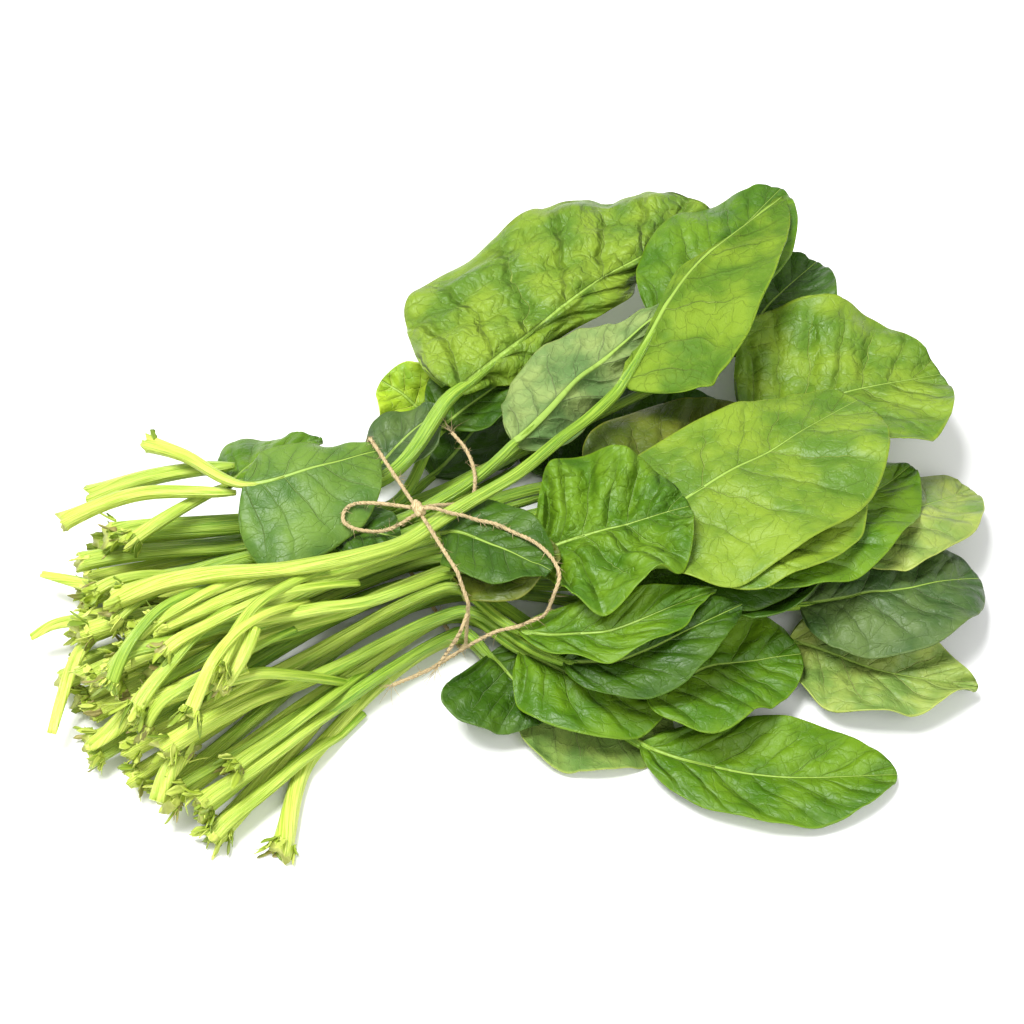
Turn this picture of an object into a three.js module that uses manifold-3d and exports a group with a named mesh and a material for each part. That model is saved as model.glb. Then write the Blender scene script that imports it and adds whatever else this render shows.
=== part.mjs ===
// A bunch of spinach leaves tied with twine, lying on a flat surface.
// Millimetres, +Z up, +X from the cut stem ends to the leaf tips, the surface at z = 0.
//
// Every leaf is one solid: a stalk that widens to its cut end and a thin blade with a midrib,
// pillows between its side veins and a waved margin. The leaves are laid down one after
// another, so that each one drapes over those under it, and the twine goes round them all.
import * as THREE from 'three';
import Module from 'manifold-3d';

const wasm = await Module();
wasm.setup();

// Driving dimensions.
const FOOTPRINT_MIDDLE = [35.9, -20.5]; // of the whole bunch, from the middle of the tie
const BLADE_THICKNESS = 0.8;
const MIDRIB_DEPTH = 1.9; // how far the midrib stands out under the blade, at its root
const STALK_SIDES = 6;
const STALK_STEP = 17;
const PILLOW = 0.7; // rise between side veins, and the same fall at them
const GAP = 0.35; // between two leaves
const TWINE = 2.0; // twine across
const TIE_CLEAR = 3.0; // height of the stalks over the surface where the twine goes under them

// Blade outlines: where the blade is widest (under 1 toward the stalk), how full its ends are, and
// how far its lobes reach back beside the stalk, as a share of the blade's length.
const OUTLINES = {
  oval: { lean: 0.85, full: 0.6, lobe: 0.06 },
  spade: { lean: 0.62, full: 0.66, lobe: 0.17 },
  spoon: { lean: 1.1, full: 0.58, lobe: 0 },
  round: { lean: 0.9, full: 0.5, lobe: 0.12 },
  long: { lean: 0.8, full: 0.8, lobe: 0 },
  broad: { lean: 0.9, full: 0.42, lobe: 0.14 },
};

// Colours of the upper and under sides that show, and of the stalks and the twine.
const TONES = {
  green: 0x5c9434,
  bright: 0x86b046,
  dark: 0x3d6b25,
  blue: 0x4a6f50,
  pale: 0x86a46e,
  bronze: 0x7f7a3a,
  stalk: 0xc6d868,
  twine: 0xcdaf7d,
};

// The leaves from the lowest to the topmost. A path runs from the cut end through the tie to the
// neck, where the blade starts, the middle of the blade and its tip. Its heights are over the
// surface, and what lies below raises them further. Roll turns the blade about its midrib, at the
// neck and at the tip; fold tilts its left and right halves up, and curl bends them on to the
// margin; wave is the height, the count along the margin and the phase of its waves. Stalk gives
// its radius at the cut and at the neck, halves the share of the width on each side.
const LEAVES = [
  {
    name: 'leaf_olive_underside',
    path: [[-86, -80, 3], [-60, -50, 3], [2, -31, 3], [11, -63, 3], [29, -82, 2], [47, -101, 2]],
    width: 46, form: 'oval', tone: 'pale', roll: [180, 180], fold: [0, 0], curl: [-12, -8],
    wave: [1.5, 2, 0.4], stalk: [3.2, 2.2],
  },
  {
    name: 'leaf_near_right',
    path: [[-101, -64, 3], [2, -22, 3], [35, -99, 3], [67, -127, 2], [104, -147, 3]],
    width: 44, form: 'spoon', tone: 'green', roll: [0, 0], fold: [4, 8], curl: [8, 8],
    wave: [1.5, 2, 0.1], stalk: [3.3, 2.1],
  },
  {
    name: 'leaf_near_tail',
    path: [[-112, -42, 3], [2, -13, 3], [102, -84, 3], [121, -111, 6], [146, -132, 6]],
    width: 48, form: 'long', tone: 'pale', roll: [-8, 20], fold: [20, 5], curl: [25, 5],
    wave: [3, 3, 0.3], stalk: [3.3, 2.1],
  },
  {
    name: 'leaf_blue_green',
    path: [[-124, -12, 3], [2, -4, 3], [108, -80, 6], [137, -93, 8], [171, -96, 6]],
    width: 48, form: 'round', tone: 'blue', roll: [0, -5], fold: [4, 4], curl: [10, 12],
    wave: [1.5, 2, 0.5], stalk: [3.3, 2.1],
  },
  {
    name: 'leaf_pale_right',
    path: [[-121, 6, 3], [2, 4, 3], [132, -73, 6], [161, -68, 8], [193, -60, 6]],
    width: 42, form: 'round', tone: 'pale', roll: [0, 0], fold: [5, 5], curl: [5, 20],
    wave: [1.5, 2, 0.2], stalk: [3.3, 2.1],
  },
  {
    name: 'leaf_under_tip',
    path: [[-116, 20, 3], [2, 13, 3], [92, -8, 3], [130, -18, 2], [168, -20, 4]],
    width: 54, form: 'spade', tone: 'dark', roll: [0, 5], fold: [4, 4], curl: [8, 5],
    wave: [1.5, 2.5, 0.6], stalk: [3.3, 2.1], plain: true,
  },
  {
    name: 'leaf_under_far',
    path: [[-108, 36, 3], [2, 22, 3], [60, 28, 2], [98, 38, 2], [138, 46, 4]],
    width: 54, form: 'oval', tone: 'dark', roll: [0, 0], fold: [4, 4], curl: [8, 5],
    wave: [1.5, 2.2, 0.2], stalk: [3.3, 2.1], plain: true,
  },
  {
    name: 'leaf_under_back',
    path: [[-98, 52, 3], [2, 31, 3], [28, 38, 3], [58, 54, 3], [90, 66, 5]],
    width: 44, form: 'oval', tone: 'dark', roll: [0, 5], fold: [4, 4], curl: [8, 8],
    wave: [1.5, 2.2, 0.7], stalk: [3.3, 2.1], plain: true,
  },
  {
    name: 'leaf_dark_near',
    path: [[-104, -58, 6], [-50, -42, 6], [2, -33, 8], [7, -46, 8], [9, -60, 8], [12, -78, 4]],
    width: 54, form: 'oval', tone: 'dark', roll: [0, 0], fold: [0, 10], curl: [5, 10],
    wave: [1.5, 2, 0.7], stalk: [3.2, 2.3],
  },
  {
    name: 'leaf_light_near',
    path: [[-112, -50, 6], [2, -27, 8], [15, -53, 8], [32, -77, 6], [57, -86, 4]],
    width: 44, form: 'oval', tone: 'green', roll: [0, 0], fold: [5, 5], curl: [8, 8],
    wave: [1.5, 2, 0.1], stalk: [3.3, 2.1],
  },
  {
    name: 'leaf_round_near',
    path: [[-118, -34, 6], [2, -18, 8], [26, -58, 8], [43, -88, 8], [72, -87, 8], [100, -94, 6]],
    width: 52, form: 'round', tone: 'green', roll: [0, 0], fold: [5, 5], curl: [8, 18],
    wave: [1.2, 2, 0.9], stalk: [3.3, 2.1],
  },
  {
    name: 'leaf_folded_shade',
    path: [[-126, -20, 6], [2, -9, 8], [78, -64, 8], [99, -75, 8], [122, -79, 8]],
    width: 40, form: 'oval', tone: 'dark', roll: [0, 20], fold: [35, 30], curl: [0, 10],
    wave: [1.5, 2, 0.4], stalk: [3.3, 2.1],
  },
  {
    name: 'leaf_under_middle',
    path: [[-120, -4, 6], [2, 0, 8], [48, -27, 6], [88, -52, 4], [130, -70, 5]],
    width: 62, form: 'oval', tone: 'dark', roll: [0, 0], fold: [3, 3], curl: [6, 6],
    wave: [1.5, 2, 0], stalk: [3.3, 2.1], plain: true,
  },
  {
    name: 'leaf_right',
    path: [[-124, 12, 6], [2, 9, 8], [90, -68, 12], [127, -66, 14], [171, -51, 12]],
    width: 46, form: 'oval', tone: 'green', roll: [0, -10], fold: [5, 8], curl: [8, 12],
    wave: [2.5, 2.4, 0.5], stalk: [3.3, 2.1],
  },
  {
    name: 'leaf_under_fold',
    path: [[-112, 26, 6], [2, 18, 8], [62, 8, 8], [98, 14, 8], [134, 16, 8]],
    width: 52, form: 'oval', tone: 'dark', roll: [0, 0], fold: [4, 4], curl: [8, 5],
    wave: [1.5, 2.2, 0.4], stalk: [3.3, 2.1], plain: true,
  },
  {
    name: 'leaf_far_right',
    path: [[-104, 44, 6], [2, 27, 8], [146, 32, 16], [173, 42, 22], [199, 53, 20]],
    width: 50, form: 'oval', tone: 'dark', roll: [0, 10], fold: [5, 5], curl: [18, 12],
    wave: [2, 2, 0.3], stalk: [3.3, 2.1],
  },
  {
    name: 'leaf_small_bright',
    path: [[-94, 60, 6], [-40, 40, 6], [34, 54, 12], [31, 63, 20], [25, 72, 24]],
    width: 30, form: 'round', tone: 'bright', roll: [10, 30], fold: [10, 10], curl: [20, 20],
    wave: [2, 2, 0.6], stalk: [2.8, 1.9], plain: true,
  },
  {
    name: 'sprig_far',
    path: [[-86, 24, 16], [-96, 35, 14], [-104, 46, 12], [-113, 57, 10]],
    tone: 'stalk', stalk: [3.6, 0.9],
  },
  {
    name: 'sprig_yellow',
    path: [[-99, 20, 12], [-110, 28, 11], [-118, 32, 9], [-126, 33, 6]],
    tone: 'stalk', stalk: [3, 0.9],
  },
  {
    name: 'sprig_hanging',
    path: [[-103, 18, 12], [-115, 13, 9], [-124, 5, 5], [-134, -7, 2]],
    tone: 'stalk', stalk: [2.6, 1],
  },
  {
    name: 'sprig_crown',
    path: [[-107, -16, 10], [-118, -19, 7], [-125, -19, 4]],
    tone: 'stalk', stalk: [3.6, 1.4],
  },
  {
    name: 'sprig_near',
    path: [[-100, -41, 9], [-108, -45, 6], [-115, -51, 3]],
    tone: 'stalk', stalk: [3.4, 1.6],
  },
  {
    name: 'leaf_long_near',
    path: [[-108, -42, 10], [2, -31, 12], [23, -68, 12], [49, -80, 12], [83, -81, 12]],
    width: 34, form: 'long', tone: 'dark', roll: [0, 0], fold: [8, 8], curl: [5, 8],
    wave: [1.5, 2, 0.5], stalk: [3.3, 2.1],
  },
  {
    name: 'leaf_thin_near',
    path: [[-116, -28, 10], [2, -22, 12], [15, -52, 16], [39, -70, 16], [77, -74, 16]],
    width: 26, form: 'long', tone: 'green', roll: [0, -20], fold: [10, 10], curl: [10, 30],
    wave: [2, 3, 0.2], stalk: [3.4, 2],
  },
  {
    name: 'leaf_sliver',
    path: [[-112, -14, 10], [2, -13, 13], [77, -63, 14], [110, -66, 16], [147, -52, 14]],
    width: 42, form: 'oval', tone: 'bright', roll: [0, 10], fold: [8, 10], curl: [8, 8],
    wave: [2, 2, 0.2], stalk: [3.3, 2.1],
  },
  {
    name: 'leaf_big_right',
    path: [[-118, 2, 10], [2, 4, 13], [133, -4, 18], [168, -13, 26], [206, -19, 22]],
    width: 86, form: 'round', tone: 'green', roll: [0, 5], fold: [6, 6], curl: [16, 14],
    wave: [3, 2.4, 0.8], stalk: [3.6, 2.3],
  },
  {
    name: 'leaf_bronze',
    path: [[-114, 14, 10], [2, -4, 13], [62, -17, 20], [101, -10, 20], [135, -2, 20]],
    width: 54, form: 'oval', tone: 'bronze', roll: [0, 0], fold: [8, 8], curl: [8, 8],
    wave: [2, 2, 0.6], stalk: [3.3, 2.1],
  },
  {
    name: 'leaf_dark_far',
    path: [[-101, 50, 10], [2, 22, 13], [32, 39, 24], [60, 47, 28], [88, 53, 28]],
    width: 40, form: 'oval', tone: 'dark', roll: [5, 5], fold: [12, 12], curl: [10, 10],
    wave: [2, 2, 0.2], stalk: [3.2, 2.2],
  },
  {
    name: 'leaf_grey_far',
    path: [[-92, 58, 10], [-30, 36, 14], [5, 37, 20], [19, 40, 24], [36, 43, 26]],
    width: 30, form: 'oval', tone: 'blue', roll: [10, 20], fold: [0, 5], curl: [10, 10],
    wave: [1.5, 2, 0.3], stalk: [3, 2], plain: true,
  },
  {
    name: 'leaf_centre',
    path: [[-110, -4, 14], [2, -9, 18], [63, -38, 30], [106, -37, 34], [163, -27, 28]],
    width: 84, form: 'broad', tone: 'bright', roll: [0, 0], fold: [4, 0], curl: [8, 8],
    wave: [2, 2.5, 0.7], stalk: [3.8, 2.5], halves: [0.66, 1],
  },
  {
    name: 'leaf_crumpled',
    path: [[-100, -18, 14], [2, -18, 18], [33, -32, 26], [57, -39, 28], [84, -44, 28]],
    width: 66, form: 'round', tone: 'bright', roll: [0, 0], fold: [8, 8], curl: [18, 18],
    wave: [4, 2.6, 0.4], stalk: [3.3, 2.1],
  },
  {
    name: 'leaf_back',
    path: [[-90, 50, 20], [2, 25, 20], [39, 40, 32], [100, 62, 38], [170, 84, 34]],
    width: 90, form: 'broad', tone: 'bright', roll: [-4, -4], fold: [12, -45], curl: [-36, -20],
    wave: [2, 3, 0.2], stalk: [4.2, 3], halves: [1.08, 0.25],
  },
  {
    name: 'leaf_behind_top',
    path: [[-106, 30, 10], [2, 13, 13], [121, 42, 36], [156, 57, 40], [197, 78, 38]],
    width: 50, form: 'oval', tone: 'green', roll: [5, 10], fold: [5, 5], curl: [-12, -12],
    wave: [2, 2.2, 0.1], stalk: [3.3, 2.1],
  },
  {
    name: 'leaf_pale_folded',
    path: [[-98, 22, 14], [2, 9, 18], [46, 9, 28], [87, 29, 32], [127, 41, 32]],
    width: 46, form: 'oval', tone: 'pale', roll: [180, 180], fold: [30, 12], curl: [10, 16],
    wave: [2, 2, 0.3], stalk: [3.3, 2.1], halves: [0.55, 1],
  },
  {
    name: 'leaf_olive_tie',
    path: [[-89, -9, 22], [-47, -22, 28], [-19, -28, 32], [4, -25, 20], [18, -33, 22], [37, -40, 22]],
    width: 30, form: 'oval', tone: 'bronze', roll: [0, 0], fold: [5, 5], curl: [5, 5],
    wave: [1.5, 2, 0.3], stalk: [3, 2], plain: true,
  },
  {
    name: 'leaf_dark_tie',
    path: [[-94, -8, 22], [-40, -8, 22], [7, -11, 25], [19, -28, 26], [29, -48, 26]],
    width: 34, form: 'oval', tone: 'dark', roll: [0, 0], fold: [5, 5], curl: [5, 12],
    wave: [1.5, 2, 0.1], stalk: [3, 2],
  },
  {
    name: 'leaf_small_stem',
    path: [[-100, 4, 22], [-60, 6, 22], [-26, 6, 24], [-15, 2, 27], [-6, -7, 28]],
    width: 26, form: 'oval', tone: 'dark', roll: [0, 0], fold: [5, 5], curl: [8, 8],
    wave: [1.5, 2, 0.5], stalk: [2.8, 1.9], plain: true,
  },
  {
    name: 'leaf_bright_far',
    path: [[-86, 40, 18], [-66, 42, 22], [-47, 45, 25], [-30, 50, 28], [-8, 51, 30]],
    width: 36, form: 'long', tone: 'bright', roll: [25, 30], fold: [5, 8], curl: [5, 8],
    wave: [1.5, 2, 0.5], stalk: [2.8, 2],
  },
  {
    name: 'stalk_top',
    path: [[-87, 72, 12], [-67, 61, 16], [-42, 48, 20]],
    tone: 'stalk', stalk: [4.2, 2.6],
  },
  {
    name: 'stalk_left',
    path: [[-101, 64, 12], [-75, 53, 18], [-47, 35, 22]],
    tone: 'stalk', stalk: [3.4, 2.2],
  },
  {
    name: 'stalk_flared_near',
    path: [[-103, -27, 10], [-89, -30, 14], [-73, -32, 18]],
    tone: 'stalk', stalk: [3.8, 2.2],
  },
  {
    name: 'stalk_flared',
    path: [[-86, -38, 12], [-76, -32, 15], [-68, -25, 18]],
    tone: 'stalk', stalk: [4.4, 2.6],
  },
  {
    name: 'leaf_over_stems',
    path: [[-65, 71, 24], [-57, 56, 26], [-45, 33, 26], [-20, 27, 27], [3, 28, 27]],
    width: 60, form: 'spade', tone: 'pale', roll: [0, 0], fold: [-4, -8], curl: [-10, -20],
    wave: [1.5, 2, 0.3], stalk: [2.8, 2], halves: [0.5, 1.1],
  },
  {
    name: 'leaf_main',
    path: [
      [-101, 14, 24], [-75, 3, 25], [-44, -10, 26], [-17, -14, 27], [8, -10, 28], [40, -6, 32],
      [93, 17, 38], [139, 46, 46], [192, 70, 40],
    ],
    width: 64, form: 'spade', tone: 'green', roll: [180, 180], fold: [-4, 30], curl: [-16, 20],
    wave: [1.5, 2.2, 0.2], stalk: [3.6, 2.3], halves: [1, 0.2],
  },
];

const degrees = (angle) => (angle * Math.PI) / 180;
const mix = (a, b, share) => a + (b - a) * share;
const clamp01 = (value) => Math.min(Math.max(value, 0), 1);

// A smooth curve through the points, by steps as long as the chords between them.
function curveThrough(points) {
  const at = [0];
  for (let i = 1; i < points.length; i += 1) at.push(at[i - 1] + points[i].distanceTo(points[i - 1]));
  const slopes = points.map((point, i) => {
    const before = Math.max(i - 1, 0);
    const after = Math.min(i + 1, points.length - 1);
    return points[after].clone().sub(points[before]).divideScalar(at[after] - at[before]);
  });
  const place = (s) => {
    let i = 1;
    while (i < points.length - 1 && s > at[i]) i += 1;
    const span = at[i] - at[i - 1];
    const t = (s - at[i - 1]) / span;
    const result = points[i - 1].clone().multiplyScalar((1 + 2 * t) * (1 - t) ** 2);
    result.addScaledVector(slopes[i - 1], span * t * (1 - t) ** 2);
    result.addScaledVector(points[i], t * t * (3 - 2 * t));
    return result.addScaledVector(slopes[i], span * t * t * (t - 1));
  };
  const direction = (s) => {
    const end = at[at.length - 1];
    return place(Math.min(s + 0.5, end)).sub(place(Math.max(s - 0.5, 0))).normalize();
  };
  return { at, place, direction };
}

// Side and upward directions across the curve at s, turned about it by an angle.
function frameAt(curve, s, turn) {
  const along = curve.direction(s);
  const side = along.clone().cross(new THREE.Vector3(0, 0, 1)).normalize();
  const upward = side.clone().cross(along);
  return {
    side: side.clone().multiplyScalar(Math.cos(turn)).addScaledVector(upward, Math.sin(turn)),
    upward: upward.multiplyScalar(Math.cos(turn)).addScaledVector(side, -Math.sin(turn)),
  };
}

// Half the blade's width at a share of its length, as a share of its half width.
function outlineAt(outline, share) {
  return Math.sin(Math.PI * clamp01(share) ** outline.lean) ** outline.full;
}

// Where the side veins that leave the midrib at m meet the margin, before any lobe.
const marginShare = (m) => 0.03 + 0.945 * (1 - (1 - m) ** 1.35);

// How far the blade's lobes reach back beside the stalk.
const lobeAt = (outline, m) => outline.lobe * Math.sin(Math.PI * clamp01(m / 0.55)) ** 2;

// A place on the blade: m along the midrib, v across from -1 to 1, and its direction up.
function bladePlace(leaf, curve, neck, m, v, pillow) {
  const outline = OUTLINES[leaf.form];
  const margin = marginShare(m);
  const along = mix(m, margin - lobeAt(outline, m), v * v);
  const hand = v < 0 ? 0 : 1;
  const sign = v < 0 ? -1 : 1;
  const out = Math.abs(v);
  const tilt = degrees(leaf.fold[hand]);
  const curl = degrees(leaf.curl[hand]) + 1e-4;
  const s = mix(neck, curve.at[curve.at.length - 1], along);
  const frame = frameAt(curve, s, degrees(mix(leaf.roll[0], leaf.roll[1], along)));
  const half = (leaf.width / 2) * (leaf.halves ?? [1, 1])[hand] * outlineAt(outline, margin);
  const across = (half * (Math.sin(tilt + curl * out) - Math.sin(tilt))) / curl;
  const rise = (half * (Math.cos(tilt) - Math.cos(tilt + curl * out))) / curl;
  const [height, count, phase] = leaf.wave;
  const turns = count * margin + phase + hand * 0.3;
  const wave = height * out ** 3 * clamp01(margin * 3) * Math.sin(2 * Math.PI * turns);
  const bump = pillow * PILLOW * 4 * out * (1 - out);
  const angle = tilt + curl * out;
  const up = frame.upward.clone().multiplyScalar(Math.cos(angle));
  up.addScaledVector(frame.side, -sign * Math.sin(angle));
  const place = curve.place(s).addScaledVector(frame.side, sign * across).addScaledVector(frame.upward, rise);
  return { place: place.addScaledVector(up, wave + bump), up };
}

// The stalk's rings from its cut end to the neck, with a slanted cut.
function stalkRings(leaf, curve, neck) {
  const length = leaf.form ? neck - 2.5 : neck;
  const count = Math.max(Math.round(length / STALK_STEP), 2);
  const roll = leaf.roll ? leaf.roll[0] : 0;
  const rings = [];
  for (let i = 0; i <= count; i += 1) {
    const s = (length * i) / count;
    const turn = Math.abs(roll) > 90 ? roll : roll * clamp01((s / neck) * 2 - 1) ** 2;
    const frame = frameAt(curve, s, degrees(turn));
    const flare = 1 + 0.25 * Math.exp(-s / 14);
    const radius = mix(leaf.stalk[0], leaf.stalk[1], i / count) * flare;
    const ring = [];
    for (let k = 0; k < STALK_SIDES; k += 1) {
      const angle = (2 * Math.PI * k) / STALK_SIDES;
      const point = curve.place(s).addScaledVector(frame.side, 1.08 * radius * Math.cos(angle));
      point.addScaledVector(frame.upward, 0.95 * radius * Math.sin(angle));
      const slant = i === 0 ? 0.5 * radius * Math.sin(angle + leaf.path[0][1]) : 0;
      ring.push(point.addScaledVector(curve.direction(s), slant));
    }
    rings.push(ring);
  }
  return rings;
}

// Faces between two loops of points, each loop given as its points' numbers and their shares round it.
function zip(faces, back, front) {
  let i = 0;
  let j = 0;
  const shareOf = (loop, k) => (k < loop.ids.length ? loop.shares[k] : 1 + loop.shares[0]);
  while (i < back.ids.length || j < front.ids.length) {
    const a = back.ids[i % back.ids.length];
    const b = front.ids[j % front.ids.length];
    const advanceBack = j >= front.ids.length
      || (i < back.ids.length && shareOf(back, i + 1) < shareOf(front, j + 1));
    if (advanceBack) {
      i += 1;
      faces.push([a, b, back.ids[i % back.ids.length]]);
    } else {
      j += 1;
      faces.push([a, b, front.ids[j % front.ids.length]]);
    }
  }
}

// The points and faces of a leaf, or of a stalk that has no blade, as it hangs over its place.
function leafShape(leaf) {
  const curve = curveThrough(leaf.path.map((point) => new THREE.Vector3(...point)));
  const neck = curve.at.at(leaf.form ? -3 : -1);
  const points = [];
  const faces = [];
  const add = (point) => points.push(point) - 1;
  const rings = stalkRings(leaf, curve, neck).map((ring) => ring.map(add));
  const even = Array.from({ length: STALK_SIDES }, (_, k) => k / STALK_SIDES);
  for (let k = 1; k < STALK_SIDES - 1; k += 1) faces.push([rings[0][0], rings[0][k], rings[0][k + 1]]);
  for (let i = 0; i < rings.length - 1; i += 1) {
    zip(faces, { ids: rings[i], shares: even }, { ids: rings[i + 1], shares: even });
  }
  const stalkPoints = points.length;
  if (!leaf.form) {
    const end = rings.at(-1);
    for (let k = 1; k < STALK_SIDES - 1; k += 1) faces.push([end[0], end[k + 1], end[k]]);
    return { points, faces, stalkPoints };
  }

  const across = leaf.plain ? [0.12, 0.58, 1] : [0.1, 0.42, 0.74, 1];
  const columns = [...across.map((v) => -v).reverse(), 0, ...across];
  const rows = leaf.plain ? 5 : 7;
  const top = [];
  const under = [];
  for (let i = 0; i <= rows; i += 1) {
    const m = i / rows;
    const pillow = i === 0 || i === rows ? 0 : (i % 2 ? 1 : -1);
    const ridge = 0.15 + MIDRIB_DEPTH * (1 - m) ** 0.8;
    const sheets = columns.map((v) => bladePlace(leaf, curve, neck, m, v, pillow));
    top.push(sheets.map(({ place, up }) => add(place.clone().addScaledVector(up, BLADE_THICKNESS / 2))));
    under.push(sheets.map(({ place, up }, j) => {
      const depth = BLADE_THICKNESS / 2 + (columns[j] === 0 ? ridge : 0);
      return add(place.clone().addScaledVector(up, -depth));
    }));
  }
  const last = columns.length - 1;
  for (let i = 0; i < rows; i += 1) {
    for (let j = 0; j < last; j += 1) {
      const [a, b, c, d] = [top[i][j], top[i][j + 1], top[i + 1][j + 1], top[i + 1][j]];
      faces.push([a, b, c], [a, c, d]);
      const [e, f, g, h] = [under[i][j], under[i][j + 1], under[i + 1][j + 1], under[i + 1][j]];
      faces.push([e, g, f], [e, h, g]);
    }
    faces.push([top[i][last], under[i][last], under[i + 1][last]]);
    faces.push([top[i][last], under[i + 1][last], top[i + 1][last]]);
    faces.push([top[i][0], under[i + 1][0], under[i][0]]);
    faces.push([top[i][0], top[i + 1][0], under[i + 1][0]]);
  }
  for (let j = 0; j < last; j += 1) {
    faces.push([top[rows][j], under[rows][j + 1], under[rows][j]]);
    faces.push([top[rows][j], top[rows][j + 1], under[rows][j + 1]]);
  }
  const loop = [...top[0]].reverse().concat(under[0]);
  const shares = loop.map((_, k) => (k + 0.5) / loop.length);
  zip(faces, { ids: rings.at(-1), shares: even }, { ids: loop, shares });
  return { points, faces, stalkPoints };
}

// The height of what has been laid down so far, in square cells.
const CELL = 0.5;
const FIELD = { x: -190, y: -200, columns: 880, rows: 760 };
const height = new Float32Array(FIELD.columns * FIELD.rows).fill(-GAP);
const cellOf = (x, y) => Math.floor((y - FIELD.y) / CELL) * FIELD.columns + Math.floor((x - FIELD.x) / CELL);
for (let x = -4; x <= 8; x += CELL) {
  for (let y = -60; y <= 60; y += CELL) height[cellOf(x, y)] = TIE_CLEAR - GAP;
}

// Calls visit with evenly spaced places on a face.
const FACE_STEPS = 32;
function sampleFace(points, [a, b, c], visit) {
  for (let i = 0; i <= FACE_STEPS; i += 1) {
    for (let j = 0; j <= FACE_STEPS - i; j += 1) {
      const u = i / FACE_STEPS;
      const v = j / FACE_STEPS;
      const w = 1 - u - v;
      visit(
        points[a].x * w + points[b].x * u + points[c].x * v,
        points[a].y * w + points[b].y * u + points[c].y * v,
        points[a].z * w + points[b].z * u + points[c].z * v,
      );
    }
  }
}

// Places on the surfaces inside the tight turn of the twine, in its plane, as [y, z].
const TIE_X = 2;
const TIE_SPAN = [-43, 52]; // in y; blades beyond it hang outside the twine
const tiePlaces = [];

// Raises a shape off what lies there already. Each point rises straight up by the most that any
// face near it needs, less with distance, so that no face touches what is under it.
function settle(shape, reachOf) {
  const { points, faces } = shape;
  const need = new Float32Array(points.length);
  for (const face of faces) {
    let most = 0;
    sampleFace(points, face, (x, y, z) => {
      most = Math.max(most, height[cellOf(x, y)] + GAP - z);
    });
    for (const id of face) need[id] = Math.max(need[id], most);
  }
  const lifts = points.map((point) => {
    let lift = 0;
    points.forEach((other, k) => {
      const share = Math.hypot(point.x - other.x, point.y - other.y) / reachOf(k, need[k]);
      if (share < 1) lift = Math.max(lift, need[k] * (1 - share * share) ** 2);
    });
    return lift;
  });
  points.forEach((point, k) => {
    point.z += lifts[k];
    if (point.z < 0.5) point.z = 0;
  });
}

// Adds a settled shape to what lies there.
function cover({ points, faces }) {
  for (const face of faces) {
    sampleFace(points, face, (x, y, z) => {
      if (Math.abs(x - TIE_X) < TWINE && y > TIE_SPAN[0] && y < TIE_SPAN[1]) tiePlaces.push([y, z]);
      for (const dx of [-CELL, 0, CELL]) {
        for (const dy of [-CELL, 0, CELL]) {
          const cell = cellOf(x + dx, y + dy);
          height[cell] = Math.max(height[cell], z);
        }
      }
    });
  }
}

// A round cord along a route, open with flat ends or closed on itself, as points and faces.
const CORD_SIDES = 6;
function cordShape(route, closed, radiusAt = () => TWINE / 2) {
  const points = [];
  const faces = [];
  const count = route.length;
  const across = new THREE.Vector3();
  const even = Array.from({ length: CORD_SIDES }, (_, k) => k / CORD_SIDES);
  const rings = route.map((place, i) => {
    const before = route[closed ? (i + count - 1) % count : Math.max(i - 1, 0)];
    const after = route[closed ? (i + 1) % count : Math.min(i + 1, count - 1)];
    const along = after.clone().sub(before).normalize();
    if (i === 0) across.set(0.3, 0.2, 1);
    across.addScaledVector(along, -across.dot(along)).normalize();
    const side = along.clone().cross(across);
    return even.map((share) => {
      const angle = 2 * Math.PI * share;
      const point = place.clone().addScaledVector(side, radiusAt(i) * Math.cos(angle));
      return points.push(point.addScaledVector(across, radiusAt(i) * Math.sin(angle))) - 1;
    });
  });
  const loops = rings.map((ids) => ({ ids, shares: even }));
  for (let i = 0; i < count - 1; i += 1) zip(faces, loops[i], loops[i + 1]);
  if (closed) {
    zip(faces, loops[count - 1], loops[0]);
  } else {
    const [first, last] = [rings[0], rings[count - 1]];
    for (let k = 1; k < CORD_SIDES - 1; k += 1) {
      faces.push([first[0], first[k], first[k + 1]], [last[0], last[k + 1], last[k]]);
    }
  }
  return { points, faces };
}

// The twine's tight turn: straight sides that just clear everything inside, in many directions.
const TURN_SIDES = 36;
function tightTurn() {
  const sides = Array.from({ length: TURN_SIDES }, (_, k) => {
    const angle = (2 * Math.PI * k) / TURN_SIDES;
    const normal = [Math.cos(angle), Math.sin(angle)];
    const outward = ([y, z]) => y * normal[0] + z * normal[1];
    const reach = tiePlaces.reduce((most, place) => Math.max(most, outward(place)), -Infinity);
    return { normal, reach: reach + TWINE / 2 + GAP };
  });
  return sides.map((side, k) => {
    const next = sides[(k + 1) % TURN_SIDES];
    const cross = side.normal[0] * next.normal[1] - side.normal[1] * next.normal[0];
    const y = (side.reach * next.normal[1] - next.reach * side.normal[1]) / cross;
    const z = (side.normal[0] * next.reach - next.normal[0] * side.reach) / cross;
    return new THREE.Vector3(TIE_X, y, z);
  });
}

// A loose stretch of twine through the points, in even steps.
function looseStretch(points) {
  const curve = curveThrough(points);
  const length = curve.at[curve.at.length - 1];
  const count = Math.round(length / 5);
  return Array.from({ length: count + 1 }, (_, i) => curve.place((length * i) / count));
}

const solidOf = ({ points, faces }) => new wasm.Manifold(new wasm.Mesh({
  numProp: 3,
  vertProperties: new Float32Array(points.flatMap((point) => point.toArray())),
  triVerts: new Uint32Array(faces.flat()),
}));

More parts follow.
